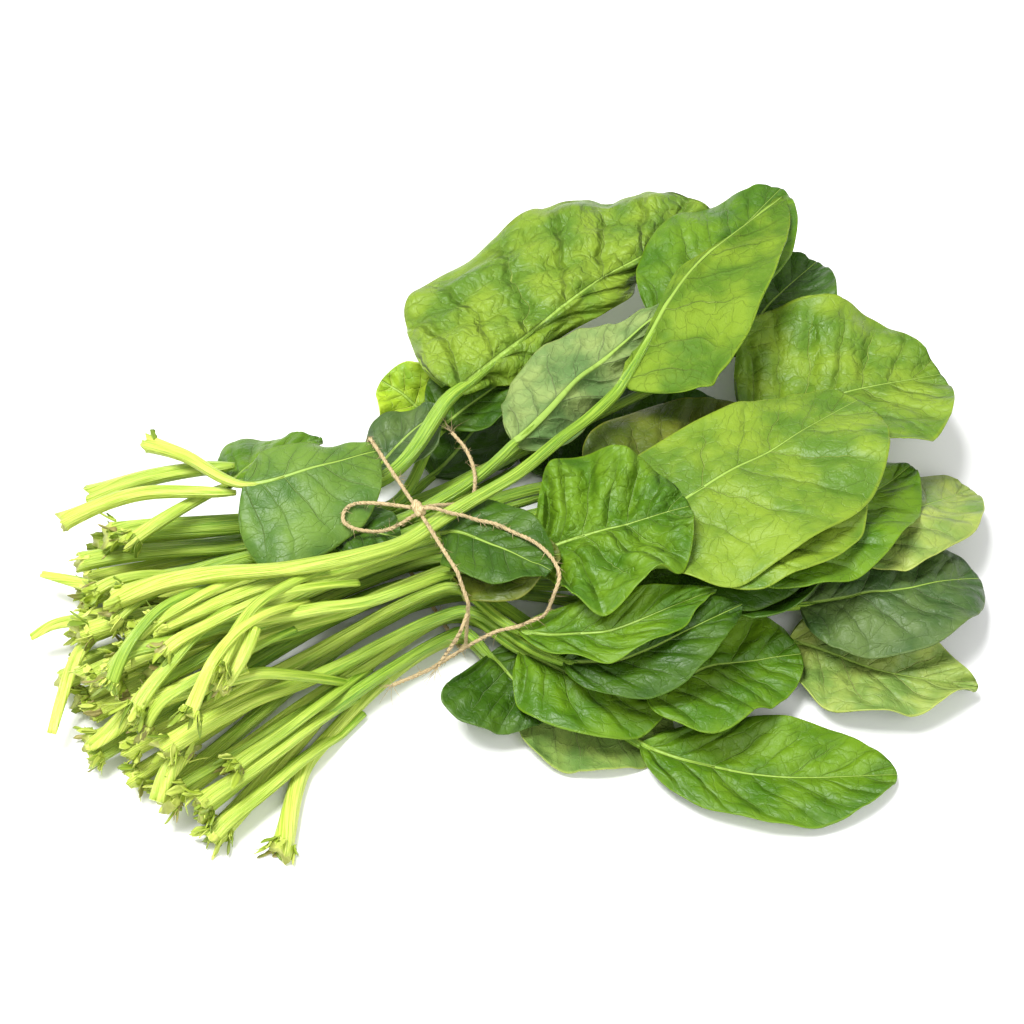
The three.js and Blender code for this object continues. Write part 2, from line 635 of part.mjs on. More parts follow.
function geometryOf({ points, faces }) {
  const geometry = new THREE.BufferGeometry();
  const [middleX, middleY] = FOOTPRINT_MIDDLE;
  const positions = points.flatMap((point) => [point.x - middleX, point.y - middleY, point.z]);
  geometry.setAttribute('position', new THREE.Float32BufferAttribute(positions, 3));
  geometry.setIndex(faces.flat());
  geometry.computeVertexNormals();
  return geometry;
}

const bunch = new THREE.Group();
bunch.name = 'spinach_bunch';

// A stalk holds its height over a longer way than a blade does.
const reachOf = (stalkPoints) => (k, need) => (k < stalkPoints ? 36 : 24) + 1.6 * need;

for (const leaf of LEAVES) {
  const shape = leafShape(leaf);
  settle(shape, reachOf(shape.stalkPoints));
  cover(shape);
  const material = new THREE.MeshStandardMaterial({ color: TONES[leaf.tone], roughness: 0.55 });
  const mesh = new THREE.Mesh(geometryOf(shape), material);
  mesh.name = leaf.name;
  bunch.add(mesh);
}

// The twine: a tight turn, a knot on top of it, and the loose loops and ends that leave the knot.
const turn = tightTurn();
const KNOT_Y = -5;
const top = turn.filter((place) => place.z > 20);
const fromKnot = (place) => Math.abs(place.y - KNOT_Y);
const knot = top.reduce((best, place) => (fromKnot(place) < fromKnot(best) ? place : best));
const { y: knotY, z: knotZ } = knot;
const low = turn.filter((place) => place.y < 0 && place.z < 30).reduce((a, b) => (a.z > b.z ? a : b));
const LOOSE = [
  // the small loop toward the stalk ends
  [[2, knotY + 1, knotZ], [-3, knotY + 5, knotZ], [-10, 6, 44], [-15, 9, 43], [-19, 8, 43], [-21, 4, 42],
    [-17, -1, 41], [-9, -4, 40], [2, knotY - 1, knotZ]],
  // the large loop over the near leaves and on down the near side
  [[2, knotY - 1, knotZ], [10, -11, 39], [18, -16, 37], [24, -23, 36], [29, -34, 36], [31, -43, 34],
    [31, -50, 31], [26, -54, 29], [17, -53, 28], [9, -50, 27], [2, -47, 22], [-5, -45, 17], [-16, -46, 16],
    [-27, -42, 10]],
  // the end that turns back toward the far side
  [[2, knotY + 1, knotZ], [10, -3, 41], [17, -4, 39], [23, -3, 38], [28, 4, 37], [31, 12, 36], [32, 20, 36],
    [31, 27, 37]],
  // the short frayed end
  [[2, low.y, low.z], [-4, -45, 26], [-14, -50, 22]],
];
let twine = solidOf(cordShape(turn, true));
for (const stretch of LOOSE) {
  const shape = cordShape(looseStretch(stretch.map((point) => new THREE.Vector3(...point))), false);
  settle(shape, (_, need) => 4 + 1.3 * need);
  twine = twine.add(solidOf(shape));
}
const KNOT_RADII = [1.1, 2.1, 2.4, 2.1, 1.1];
const knotRoute = KNOT_RADII.map((_, k) => new THREE.Vector3(TIE_X, knotY + 1.3 * (k - 2), knotZ + 1.4));
twine = twine.add(solidOf(cordShape(knotRoute, false, (k) => KNOT_RADII[k])));
const twineMesh = twine.asOriginal().simplify(TWINE / 100).getMesh();
const twinePoints = [];
for (let i = 0; i < twineMesh.vertProperties.length; i += 3) {
  twinePoints.push(new THREE.Vector3(...twineMesh.vertProperties.slice(i, i + 3)));
}
const twineFaces = [];
for (let i = 0; i < twineMesh.triVerts.length; i += 3) {
  twineFaces.push([...twineMesh.triVerts.slice(i, i + 3)]);
}
const twineMaterial = new THREE.MeshStandardMaterial({ color: TONES.twine, roughness: 0.95 });
const tie = new THREE.Mesh(geometryOf({ points: twinePoints, faces: twineFaces }), twineMaterial);
tie.name = 'twine';
bunch.add(tie);

export default bunch;
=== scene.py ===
import math

import bpy
import numpy as np
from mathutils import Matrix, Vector


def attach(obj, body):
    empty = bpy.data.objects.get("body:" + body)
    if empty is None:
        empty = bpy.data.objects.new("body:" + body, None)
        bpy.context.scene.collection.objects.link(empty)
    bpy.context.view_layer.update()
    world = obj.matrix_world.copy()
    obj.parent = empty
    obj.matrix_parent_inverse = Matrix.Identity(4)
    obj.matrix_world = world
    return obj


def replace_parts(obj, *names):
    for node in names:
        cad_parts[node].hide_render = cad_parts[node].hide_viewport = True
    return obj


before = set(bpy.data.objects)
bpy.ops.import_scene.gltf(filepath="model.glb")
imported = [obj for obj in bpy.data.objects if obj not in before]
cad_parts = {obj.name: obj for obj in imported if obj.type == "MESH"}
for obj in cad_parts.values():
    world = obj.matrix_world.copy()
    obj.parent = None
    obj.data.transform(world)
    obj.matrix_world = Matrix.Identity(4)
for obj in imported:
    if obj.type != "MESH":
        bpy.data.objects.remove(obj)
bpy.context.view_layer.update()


# ---------------------------------------------------------------------------------------------
# The leaves. Each one grew as one piece: a stalk that is thickest where it was cut, a midrib and
# a thin blade, puckered between its side veins. They lie on one another, the lowest first.
# ---------------------------------------------------------------------------------------------
MM = 0.001
FOOTPRINT_MIDDLE = np.array([35.9, -20.5, 0.0])  # of the whole bunch, from the middle of the tie
BLADE_THICKNESS = 0.7
MIDRIB_DEPTH = 1.9  # how far the midrib stands out under the blade, at its root
PILLOW = 0.7  # rise between side veins, and the same fall at them

# Where a blade is widest (under 1 toward the stalk), how full its ends are, and how far its
# lobes reach back beside the stalk, as a share of its length.
OUTLINES = {
    "oval": (0.85, 0.6, 0.06),
    "spade": (0.62, 0.66, 0.17),
    "spoon": (1.1, 0.58, 0.0),
    "round": (0.9, 0.5, 0.12),
    "long": (0.8, 0.8, 0.0),
    "broad": (0.9, 0.42, 0.14),
}


def leaf_row(name, look, width, roll, fold, curl, wave, stalk, path, **more):
    """A leaf's measures by name. look is its outline and its colour."""
    form, tone = look.split()
    return {"name": name, "form": form, "tone": tone, "width": width, "roll": roll, "fold": fold,
            "curl": curl, "wave": wave, "stalk": stalk, "path": path, **more}


def stub_row(name, stalk, *path):
    """The measures of a stalk whose blade was cut or torn off. It has no form."""
    return {"name": name, "tone": "stalk", "stalk": stalk, "path": list(path)}


# From the lowest leaf to the topmost. A path runs from the cut end through the tie to the neck,
# where the blade starts, the middle of the blade and its tip. Roll turns the blade about its
# midrib at the neck and at the tip, fold tilts its left and right halves up, curl bends them on
# to the margin, and wave is the height, count and phase of the margin's waves. Stalk is the
# stalk's radius at the cut and at the neck. Halves are the shares of the half width that the
# blade has on its left and right. A plain leaf is hidden or small, and is built coarser.
LEAVES = [
    leaf_row("leaf_olive_underside", "oval pale", 46, (180, 180), (0, 0), (-12, -8), (1.5, 2, 0.4),
             (3.2, 2.2),
             [(-86, -80, 3), (-60, -50, 3), (2, -31, 3), (11, -63, 3), (29, -82, 2), (47, -101, 2)]),
    leaf_row("leaf_near_right", "spoon green", 44, (0, 0), (4, 8), (8, 8), (1.5, 2, 0.1), (3.3, 2.1),
             [(-101, -64, 3), (2, -22, 3), (35, -99, 3), (67, -127, 2), (104, -147, 3)]),
    leaf_row("leaf_near_tail", "long pale", 48, (-8, 20), (20, 5), (25, 5), (3, 3, 0.3), (3.3, 2.1),
             [(-112, -42, 3), (2, -13, 3), (102, -84, 3), (121, -111, 6), (146, -132, 6)]),
    leaf_row("leaf_blue_green", "round blue", 48, (0, -5), (4, 4), (10, 12), (1.5, 2, 0.5), (3.3, 2.1),
             [(-124, -12, 3), (2, -4, 3), (108, -80, 6), (137, -93, 8), (171, -96, 6)]),
    leaf_row("leaf_pale_right", "round pale", 42, (0, 0), (5, 5), (5, 20), (1.5, 2, 0.2), (3.3, 2.1),
             [(-121, 6, 3), (2, 4, 3), (132, -73, 6), (161, -68, 8), (193, -60, 6)]),
    leaf_row("leaf_under_tip", "spade dark", 54, (0, 5), (4, 4), (8, 5), (1.5, 2.5, 0.6), (3.3, 2.1),
             [(-116, 20, 3), (2, 13, 3), (92, -8, 3), (130, -18, 2), (168, -20, 4)], plain=True),
    leaf_row("leaf_under_far", "oval dark", 54, (0, 0), (4, 4), (8, 5), (1.5, 2.2, 0.2), (3.3, 2.1),
             [(-108, 36, 3), (2, 22, 3), (60, 28, 2), (98, 38, 2), (138, 46, 4)], plain=True),
    leaf_row("leaf_under_back", "oval dark", 44, (0, 5), (4, 4), (8, 8), (1.5, 2.2, 0.7), (3.3, 2.1),
             [(-98, 52, 3), (2, 31, 3), (28, 38, 3), (58, 54, 3), (90, 66, 5)], plain=True),
    leaf_row("leaf_dark_near", "oval dark", 54, (0, 0), (0, 10), (5, 10), (1.5, 2, 0.7), (3.2, 2.3),
             [(-104, -58, 6), (-50, -42, 6), (2, -33, 8), (7, -46, 8), (9, -60, 8), (12, -78, 4)]),
    leaf_row("leaf_light_near", "oval green", 44, (0, 0), (5, 5), (8, 8), (1.5, 2, 0.1), (3.3, 2.1),
             [(-112, -50, 6), (2, -27, 8), (15, -53, 8), (32, -77, 6), (57, -86, 4)]),
    leaf_row("leaf_round_near", "round green", 52, (0, 0), (5, 5), (8, 18), (1.2, 2, 0.9), (3.3, 2.1),
             [(-118, -34, 6), (2, -18, 8), (26, -58, 8), (43, -88, 8), (72, -87, 8), (100, -94, 6)]),
    leaf_row("leaf_folded_shade", "oval dark", 40, (0, 20), (35, 30), (0, 10), (1.5, 2, 0.4), (3.3, 2.1),
             [(-126, -20, 6), (2, -9, 8), (78, -64, 8), (99, -75, 8), (122, -79, 8)]),
    leaf_row("leaf_under_middle", "oval dark", 62, (0, 0), (3, 3), (6, 6), (1.5, 2, 0), (3.3, 2.1),
             [(-120, -4, 6), (2, 0, 8), (48, -27, 6), (88, -52, 4), (130, -70, 5)], plain=True),
    leaf_row("leaf_right", "oval green", 46, (0, -10), (5, 8), (8, 12), (2.5, 2.4, 0.5), (3.3, 2.1),
             [(-124, 12, 6), (2, 9, 8), (90, -68, 12), (127, -66, 14), (171, -51, 12)]),
    leaf_row("leaf_under_fold", "oval dark", 52, (0, 0), (4, 4), (8, 5), (1.5, 2.2, 0.4), (3.3, 2.1),
             [(-112, 26, 6), (2, 18, 8), (62, 8, 8), (98, 14, 8), (134, 16, 8)], plain=True),
    leaf_row("leaf_far_right", "oval dark", 50, (0, 10), (5, 5), (18, 12), (2, 2, 0.3), (3.3, 2.1),
             [(-104, 44, 6), (2, 27, 8), (146, 32, 16), (173, 42, 22), (199, 53, 20)]),
    leaf_row("leaf_small_bright", "round bright", 30, (10, 30), (10, 10), (20, 20), (2, 2, 0.6),
             (2.8, 1.9),
             [(-94, 60, 6), (-40, 40, 6), (34, 54, 12), (31, 63, 20), (25, 72, 24)], plain=True),
    stub_row("sprig_far", (3.6, 0.9), (-86, 24, 16), (-96, 35, 14), (-104, 46, 12), (-113, 57, 10)),
    stub_row("sprig_yellow", (3, 0.9), (-99, 20, 12), (-110, 28, 11), (-118, 32, 9), (-126, 33, 6)),
    stub_row("sprig_hanging", (2.6, 1), (-103, 18, 12), (-115, 13, 9), (-124, 5, 5), (-134, -7, 2)),
    stub_row("sprig_crown", (3.6, 1.4), (-107, -16, 10), (-118, -19, 7), (-125, -19, 4)),
    stub_row("sprig_near", (3.4, 1.6), (-100, -41, 9), (-108, -45, 6), (-115, -51, 3)),
    leaf_row("leaf_long_near", "long dark", 34, (0, 0), (8, 8), (5, 8), (1.5, 2, 0.5), (3.3, 2.1),
             [(-108, -42, 10), (2, -31, 12), (23, -68, 12), (49, -80, 12), (83, -81, 12)]),
    leaf_row("leaf_thin_near", "long green", 26, (0, -20), (10, 10), (10, 30), (2, 3, 0.2), (3.4, 2),
             [(-116, -28, 10), (2, -22, 12), (15, -52, 16), (39, -70, 16), (77, -74, 16)]),
    leaf_row("leaf_sliver", "oval bright", 42, (0, 10), (8, 10), (8, 8), (2, 2, 0.2), (3.3, 2.1),
             [(-112, -14, 10), (2, -13, 13), (77, -63, 14), (110, -66, 16), (147, -52, 14)]),
    leaf_row("leaf_big_right", "round green", 86, (0, 5), (6, 6), (16, 14), (3, 2.4, 0.8), (3.6, 2.3),
             [(-118, 2, 10), (2, 4, 13), (133, -4, 18), (168, -13, 26), (206, -19, 22)]),
    leaf_row("leaf_bronze", "oval bronze", 54, (0, 0), (8, 8), (8, 8), (2, 2, 0.6), (3.3, 2.1),
             [(-114, 14, 10), (2, -4, 13), (62, -17, 20), (101, -10, 20), (135, -2, 20)]),
    leaf_row("leaf_dark_far", "oval dark", 40, (5, 5), (12, 12), (10, 10), (2, 2, 0.2), (3.2, 2.2),
             [(-101, 50, 10), (2, 22, 13), (32, 39, 24), (60, 47, 28), (88, 53, 28)]),
    leaf_row("leaf_grey_far", "oval blue", 30, (10, 20), (0, 5), (10, 10), (1.5, 2, 0.3), (3, 2),
             [(-92, 58, 10), (-30, 36, 14), (5, 37, 20), (19, 40, 24), (36, 43, 26)], plain=True),
    leaf_row("leaf_centre", "broad bright", 84, (0, 0), (4, 0), (8, 8), (2, 2.5, 0.7), (3.8, 2.5),
             [(-110, -4, 14), (2, -9, 18), (63, -38, 30), (106, -37, 34), (163, -27, 28)],
              halves=(0.66, 1)),
    leaf_row("leaf_crumpled", "round bright", 66, (0, 0), (8, 8), (18, 18), (4, 2.6, 0.4), (3.3, 2.1),
             [(-100, -18, 14), (2, -18, 18), (33, -32, 26), (57, -39, 28), (84, -44, 28)]),
    leaf_row("leaf_back", "broad bright", 90, (-4, -4), (12, -45), (-36, -20), (2, 3, 0.2), (4.2, 3),
             [(-90, 50, 20), (2, 25, 20), (39, 40, 32), (100, 62, 38), (170, 84, 34)],
              halves=(1.08, 0.25)),
    leaf_row("leaf_behind_top", "oval green", 50, (5, 10), (5, 5), (-12, -12), (2, 2.2, 0.1), (3.3, 2.1),
             [(-106, 30, 10), (2, 13, 13), (121, 42, 36), (156, 57, 40), (197, 78, 38)]),
    leaf_row("leaf_pale_folded", "oval pale", 46, (180, 180), (30, 12), (10, 16), (2, 2, 0.3),
             (3.3, 2.1),
             [(-98, 22, 14), (2, 9, 18), (46, 9, 28), (87, 29, 32), (127, 41, 32)], halves=(0.55, 1)),
    leaf_row("leaf_olive_tie", "oval bronze", 30, (0, 0), (5, 5), (5, 5), (1.5, 2, 0.3), (3, 2),
             [(-89, -9, 22), (-47, -22, 28), (-19, -28, 32), (4, -25, 20), (18, -33, 22), (37, -40, 22)],
              plain=True),
    leaf_row("leaf_dark_tie", "oval dark", 34, (0, 0), (5, 5), (5, 12), (1.5, 2, 0.1), (3, 2),
             [(-94, -8, 22), (-40, -8, 22), (7, -11, 25), (19, -28, 26), (29, -48, 26)]),
    leaf_row("leaf_small_stem", "oval dark", 26, (0, 0), (5, 5), (8, 8), (1.5, 2, 0.5), (2.8, 1.9),
             [(-100, 4, 22), (-60, 6, 22), (-26, 6, 24), (-15, 2, 27), (-6, -7, 28)], plain=True),
    leaf_row("leaf_bright_far", "long bright", 36, (25, 30), (5, 8), (5, 8), (1.5, 2, 0.5), (2.8, 2),
             [(-86, 40, 18), (-66, 42, 22), (-47, 45, 25), (-30, 50, 28), (-8, 51, 30)]),
    stub_row("stalk_top", (4.2, 2.6), (-87, 72, 12), (-67, 61, 16), (-42, 48, 20)),
    stub_row("stalk_left", (3.4, 2.2), (-101, 64, 12), (-75, 53, 18), (-47, 35, 22)),
    stub_row("stalk_flared_near", (3.8, 2.2), (-103, -27, 10), (-89, -30, 14), (-73, -32, 18)),
    stub_row("stalk_flared", (4.4, 2.6), (-86, -38, 12), (-76, -32, 15), (-68, -25, 18)),
    leaf_row("leaf_over_stems", "spade pale", 60, (0, 0), (-4, -8), (-10, -20), (1.5, 2, 0.3), (2.8, 2),
             [(-65, 71, 24), (-57, 56, 26), (-45, 33, 26), (-20, 27, 27), (3, 28, 27)],
              halves=(0.5, 1.1)),
    leaf_row("leaf_main", "spade green", 64, (180, 180), (-4, 30), (-16, 20), (1.5, 2.2, 0.2),
             (3.6, 2.3),
             [(-101, 14, 24), (-75, 3, 25), (-44, -10, 26), (-17, -14, 27), (8, -10, 28), (40, -6, 32),
              (93, 17, 38), (139, 46, 46), (192, 70, 40)], halves=(1, 0.2)),
]


def slopes_from(at, values):
    """The slope at each known value, from its neighbours."""
    before = np.maximum(np.arange(len(at)) - 1, 0)
    after = np.minimum(np.arange(len(at)) + 1, len(at) - 1)
    return (values[after] - values[before]) / (at[after] - at[before])[:, None]


def curve_knots(path):
    """A path's points, the chord length up to each, and the slope there from its neighbours."""
    points = np.array(path, float)
    at = np.concatenate([[0.0], np.cumsum(np.linalg.norm(np.diff(points, axis=0), axis=1))])
    return points, at, slopes_from(at, points)


def along_path(knots, s):
    """Places at chord lengths s: a cubic between two knots that keeps the slope at each."""
    points, at, slopes = knots
    i = np.clip(np.searchsorted(at, s), 1, len(at) - 1)
    span = (at[i] - at[i - 1])[..., None]
    t = (s - at[i - 1])[..., None] / span
    place = points[i - 1] * (1 + 2 * t) * (1 - t) ** 2 + slopes[i - 1] * span * t * (1 - t) ** 2
    return place + points[i] * t**2 * (3 - 2 * t) + slopes[i] * span * t**2 * (t - 1)


def unit(vectors):
    """The vectors at length one."""
    return vectors / np.linalg.norm(vectors, axis=-1, keepdims=True)


def frames(knots, s, turn):
    """Side and upward directions at s: level and square to the path, then turned about it."""
    end = knots[1][-1]
    along = unit(along_path(knots, np.minimum(s + 0.5, end)) - along_path(knots, np.maximum(s - 0.5, 0)))
    side = unit(np.cross(along, [0.0, 0.0, 1.0]))
    upward = np.cross(side, along)
    c, n = np.cos(turn)[..., None], np.sin(turn)[..., None]
    return side * c + upward * n, upward * c - side * n, along


def outline(form, share):
    """Half width at a share of the length, as a share of the most: sin(pi share^lean)^full."""
    lean, full, _ = OUTLINES[form]
    return np.sin(np.pi * np.clip(share, 0, 1) ** lean) ** full


def blade(leaf, m, v, pucker, closed=True):
    """The blade's middle surface: m along the midrib, v across it from -1 to 1.

    A line of one m leaves the midrib square and bends on to the margin further along. Each half
    is an arc that starts at the fold angle and bends by the curl; the margin's wave and the
    pucker stand on it, square to the arc. Returns places, up directions and half widths.
    """
    knots = curve_knots(leaf["path"])
    neck, end = knots[1][-3], knots[1][-1]
    form = leaf["form"]
    margin = 0.03 + 0.945 * (1 - (1 - m) ** 1.35)
    if closed:
        margin = margin - 0.03 * (1 - m) ** 7
    lobe = OUTLINES[form][2] * np.sin(np.pi * np.clip(m / 0.55, 0, 1)) ** 2
    along = m + (margin - lobe - m) * v**2
    left = v < 0
    out = np.abs(v)
    tilt = np.radians(np.where(left, *leaf["fold"]))
    curl = np.radians(np.where(left, *leaf["curl"])) + 1e-4
    turn = np.radians(leaf["roll"][0] + (leaf["roll"][1] - leaf["roll"][0]) * along)
    side, upward, _ = frames(knots, neck + (end - neck) * along, turn)
    half = leaf["width"] / 2 * np.where(left, *leaf.get("halves", (1, 1))) * outline(form, margin)
    across = half * (np.sin(tilt + curl * out) - np.sin(tilt)) / curl
    rise = half * (np.cos(tilt) - np.cos(tilt + curl * out)) / curl
    height, count, phase = leaf["wave"]
    turns = count * margin + phase + np.where(left, 0, 0.3)
    wave = height * out**3 * np.clip(margin * 3, 0, 1) * np.sin(2 * np.pi * turns)
    sign = np.where(left, -1, 1)
    angle = (tilt + curl * out)[..., None]
    up = upward * np.cos(angle) - side * (sign[..., None] * np.sin(angle))
    place = along_path(knots, neck + (end - neck) * along)
    place = place + side * (sign * across)[..., None] + upward * rise[..., None]
    return place + up * (wave + pucker)[..., None], up, half


def stalk(leaf, s, angle, reach):
    """The stalk's skin at chord length s and angle round it: a flattened circle, wider at the cut.

    reach is where its own taper ends. The cut end is slanted. Returns the way up too.
    """
    knots = curve_knots(leaf["path"])
    neck = knots[1][-3] if "form" in leaf else knots[1][-1]
    roll = np.radians(leaf["roll"][0]) if "form" in leaf else 0
    turn = roll * np.clip(s / neck * 2 - 1, 0, 1) ** 2 if abs(roll) < np.pi / 2 else roll + 0 * s
    side, upward, along = frames(knots, s, turn)
    thick, thin = leaf["stalk"]
    radius = (thick + (thin - thick) * np.clip(s / reach, 0, 1)) * (1 + 0.25 * np.exp(-s / 14))
    slant = np.exp(-s / 2.5) * 0.5 * radius * np.sin(angle + leaf["path"][0][1])
    place = along_path(knots, s) + side * (1.08 * radius * np.cos(angle))[..., None]
    place = place + upward * (0.95 * radius * np.sin(angle))[..., None] + along * slant[..., None]
    return place, radius, upward


def cad_points(node):
    """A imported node's corners in millimetres from the middle of the tie."""
    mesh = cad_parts[node].data
    flat = np.empty(len(mesh.vertices) * 3, np.float32)
    mesh.vertices.foreach_get("co", flat)
    return np.unique(flat.reshape(-1, 3), axis=0) / MM + FOOTPRINT_MIDDLE


def raised_by(points, corners, upper):
    """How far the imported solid's corners stand over these points of its unlaid shape."""
    gap = np.linalg.norm(points[..., None, :2] - corners[:, :2], axis=-1)
    close = gap < np.maximum(gap.min(-1, keepdims=True), 0.05) + 1e-6
    heights = np.where(close, corners[:, 2], -np.inf).max(-1)
    lowest = np.where(close, corners[:, 2], np.inf).min(-1)
    return np.where(upper, heights, lowest) - points[..., 2]


def smooth_between(known_at, values, at):
    """Values between known ones along the first axis, by cubics with slopes from the neighbours."""
    return along_path((values, known_at, slopes_from(known_at, values)), at)


def shifted(grid, reach, axis):
    """The grid moved along one axis by every whole number of cells up to reach each way."""
    padded = np.pad(grid, [(reach, reach) if a == axis else (0, 0) for a in (0, 1)], mode="edge")
    return [np.take(padded, range(k, k + grid.shape[axis]), axis) for k in range(2 * reach + 1)]


def widest(grid, reach):
    """The highest value within reach cells each way."""
    return np.max(shifted(np.max(shifted(grid, reach, 0), 0), reach, 1), 0)


def evened(grid, reach):
    """A mean over reach cells each way, heaviest in the middle."""
    weights = np.hanning(2 * reach + 3)[1:-1]
    weights = weights / weights.sum()
    for axis in (0, 1):
        grid = np.tensordot(weights, np.stack(shifted(grid, reach, axis)), 1)
    return grid


# What has been laid down so far: the highest point over each square of the surface.
SQUARE = 0.75
FIELD_START = np.array([-190.0, -200.0])
laid = np.zeros((600, 540))


def squares(points):
    """The square of the field under each point."""
    cells = np.floor((points[..., :2] - FIELD_START) / SQUARE).astype(int)
    return cells[..., 0], cells[..., 1]


def lay(top):
    """Adds a surface to what is laid down, with places between its grid points filled in."""
    top = np.concatenate([top, (top[:-1] + top[1:]) / 2])
    top = np.concatenate([top, (top[:, :-1] + top[:, 1:]) / 2], 1)
    np.maximum.at(laid, squares(top), top[..., 2])


TIE_X = 2.0
TIE_SPAN = (-43, 52)  # in y; blades beyond it hang outside the twine
near_tie = []


def note_tie(points):
    """Keeps the points that the twine has to go round."""
    x, y = points[..., 0], points[..., 1]
    inside = (np.abs(x - TIE_X) < 1.5) & (y > TIE_SPAN[0]) & (y < TIE_SPAN[1])
    near_tie.append(points[inside])


draws = np.random.default_rng(7)
SIDE_VEIN_SLANT = 0.3
SIDE_VEIN_BEND = 0.45
CREASE = 0.8  # under 1 gives a sharp valley at a vein and a round crown between two


def vein_rows(leaf):
    """How many side veins each half of a blade has."""
    return 5 if leaf.get("plain") else 7


def vein_count(leaf, m, v):
    """Counts the side veins passed from the neck on: whole at a vein, even at a strong one."""
    return vein_rows(leaf) * (m - SIDE_VEIN_SLANT * (np.abs(v) - SIDE_VEIN_BEND * v**2))


# How crumpled a blade is, where it isn't 1.
PUCKERED = {"leaf_back": 2.3, "leaf_crumpled": 2.1, "leaf_big_right": 1.4, "leaf_main": 1.1,
            "leaf_pale_folded": 1.6, "leaf_over_stems": 0.35, "leaf_centre": 0.8, "leaf_dark_tie": 0.6}


def pucker(leaf, m, v, half, length):
    """How far the blade stands up from its smooth arc, in millimetres.

    Crowns between the strong side veins, as |sin|^crease of the vein count; lower ones cut up
    again by veins that cross from one side vein to the next, out of step in each band; slow
    swells; and a small ruffle at the margin.
    """
    count = vein_count(leaf, m, v)
    out = np.abs(v)
    span = 4 * out * (1 - out)
    crowns = 2 * np.abs(np.sin(np.pi * count / 2)) ** CREASE - 1
    along, across = length * m, half * v
    shift = draws.uniform(0, 6, 8)
    warp = 0.12 * np.sin(along / 7 + shift[0]) + 0.1 * np.sin(across / 5 + shift[1])
    bands = np.abs(np.sin(np.pi * (count + warp))) ** CREASE
    step = 0.37 * np.floor(count + warp) + np.where(v < 0, 0.5, 0)
    cells = bands * np.abs(np.sin(np.pi * (across / 8.5 + step + warp))) ** CREASE - 0.35
    swell = np.sin(along / 5.5 + 2 * np.sin(across / 9) + shift[2]) * np.sin(across / 4.5 + shift[3])
    hollow = -np.exp(-(((out - 0.3) / 0.16) ** 2)) * (0.6 + 0.4 * np.sin(along / 11 + shift[6]))
    ruffle = out**6 * np.sin(along / 2.6 + shift[4]) * np.sin(along / 8.3 + shift[5])
    inside = np.clip(out * 6, 0, 1) * np.clip((1 - m) * 7, 0, 1) * np.clip(m * 9, 0, 1)
    strength = PUCKERED.get(leaf["name"], 1.0)
    fine = inside * (0.5 * cells + 0.8 * swell + 0.5 * hollow)
    return strength * (span * 0.6 * PILLOW * crowns + fine) + 0.5 * ruffle


BLADE_GRID = (96, 57)  # points along a blade and across it
PLAIN_GRID = (60, 35)
UNDER_BLADE = 0.3  # share of the blade's length that the stalk runs on under it
STALK_STEP = 1.9
STUB_STEP = 1.2
STALK_SIDES = 22
CAD_STALK_STEP = 17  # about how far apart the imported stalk's rings are
NECK_OVERLAP = 2.5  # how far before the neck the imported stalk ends
CLEARANCE = 0.12
REACH = 4  # grid cells over which a leaf bends up off what lies below it
CUT_POINTS = 12  # kept round each cut end, for what is torn there
ON_UPPER, ON_UNDER, ON_STALK, ON_CUT = range(4)  # the numbers of a leaf's four materials
cut_ends = []


def packed_rise(leaf):
    """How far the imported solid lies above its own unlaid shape.

    Returns it along the stalk, by chord length, and over the blade, by m and v.
    """
    knots = curve_knots(leaf["path"])
    neck = knots[1][-3]
    corners = cad_points(leaf["name"])
    reach = neck - NECK_OVERLAP if "form" in leaf else knots[1][-1]
    known_s = reach * np.linspace(0, 1, max(int(np.floor(reach / CAD_STALK_STEP + 0.5)), 2) + 1)
    s, angle = np.meshgrid(known_s, np.arange(6) * np.pi / 3, indexing="ij")
    ring = stalk(leaf, s, angle, reach)[0]
    along_stalk = raised_by(ring, corners, np.sin(angle) > 0).mean(1)
    if "form" not in leaf:
        return known_s, along_stalk
    rows = vein_rows(leaf)
    columns = [0.12, 0.58, 1] if leaf.get("plain") else [0.1, 0.42, 0.74, 1]
    known_v = np.array([-x for x in columns[::-1]] + [0] + columns)
    known_m = np.arange(rows + 1) / rows
    m, v = np.meshgrid(known_m, known_v, indexing="ij")
    crowns = np.where(np.arange(rows + 1) % 2, 1, -1)[:, None] * PILLOW * 4 * np.abs(v) * (1 - np.abs(v))
    crowns[[0, -1]] = 0
    place, up, _ = blade(leaf, m, v, crowns, closed=False)
    over_blade = raised_by(place + up * 0.4, corners, True)
    return known_s, along_stalk, known_m, known_v, over_blade


# Stalks that were torn off, and how far they are pressed flat.
PRESSED = {"sprig_far": 0.5, "sprig_yellow": 0.5, "sprig_hanging": 0.6, "sprig_crown": 0.5,
           "sprig_near": 0.5, "stalk_flared": 0.6, "stalk_flared_near": 0.6}


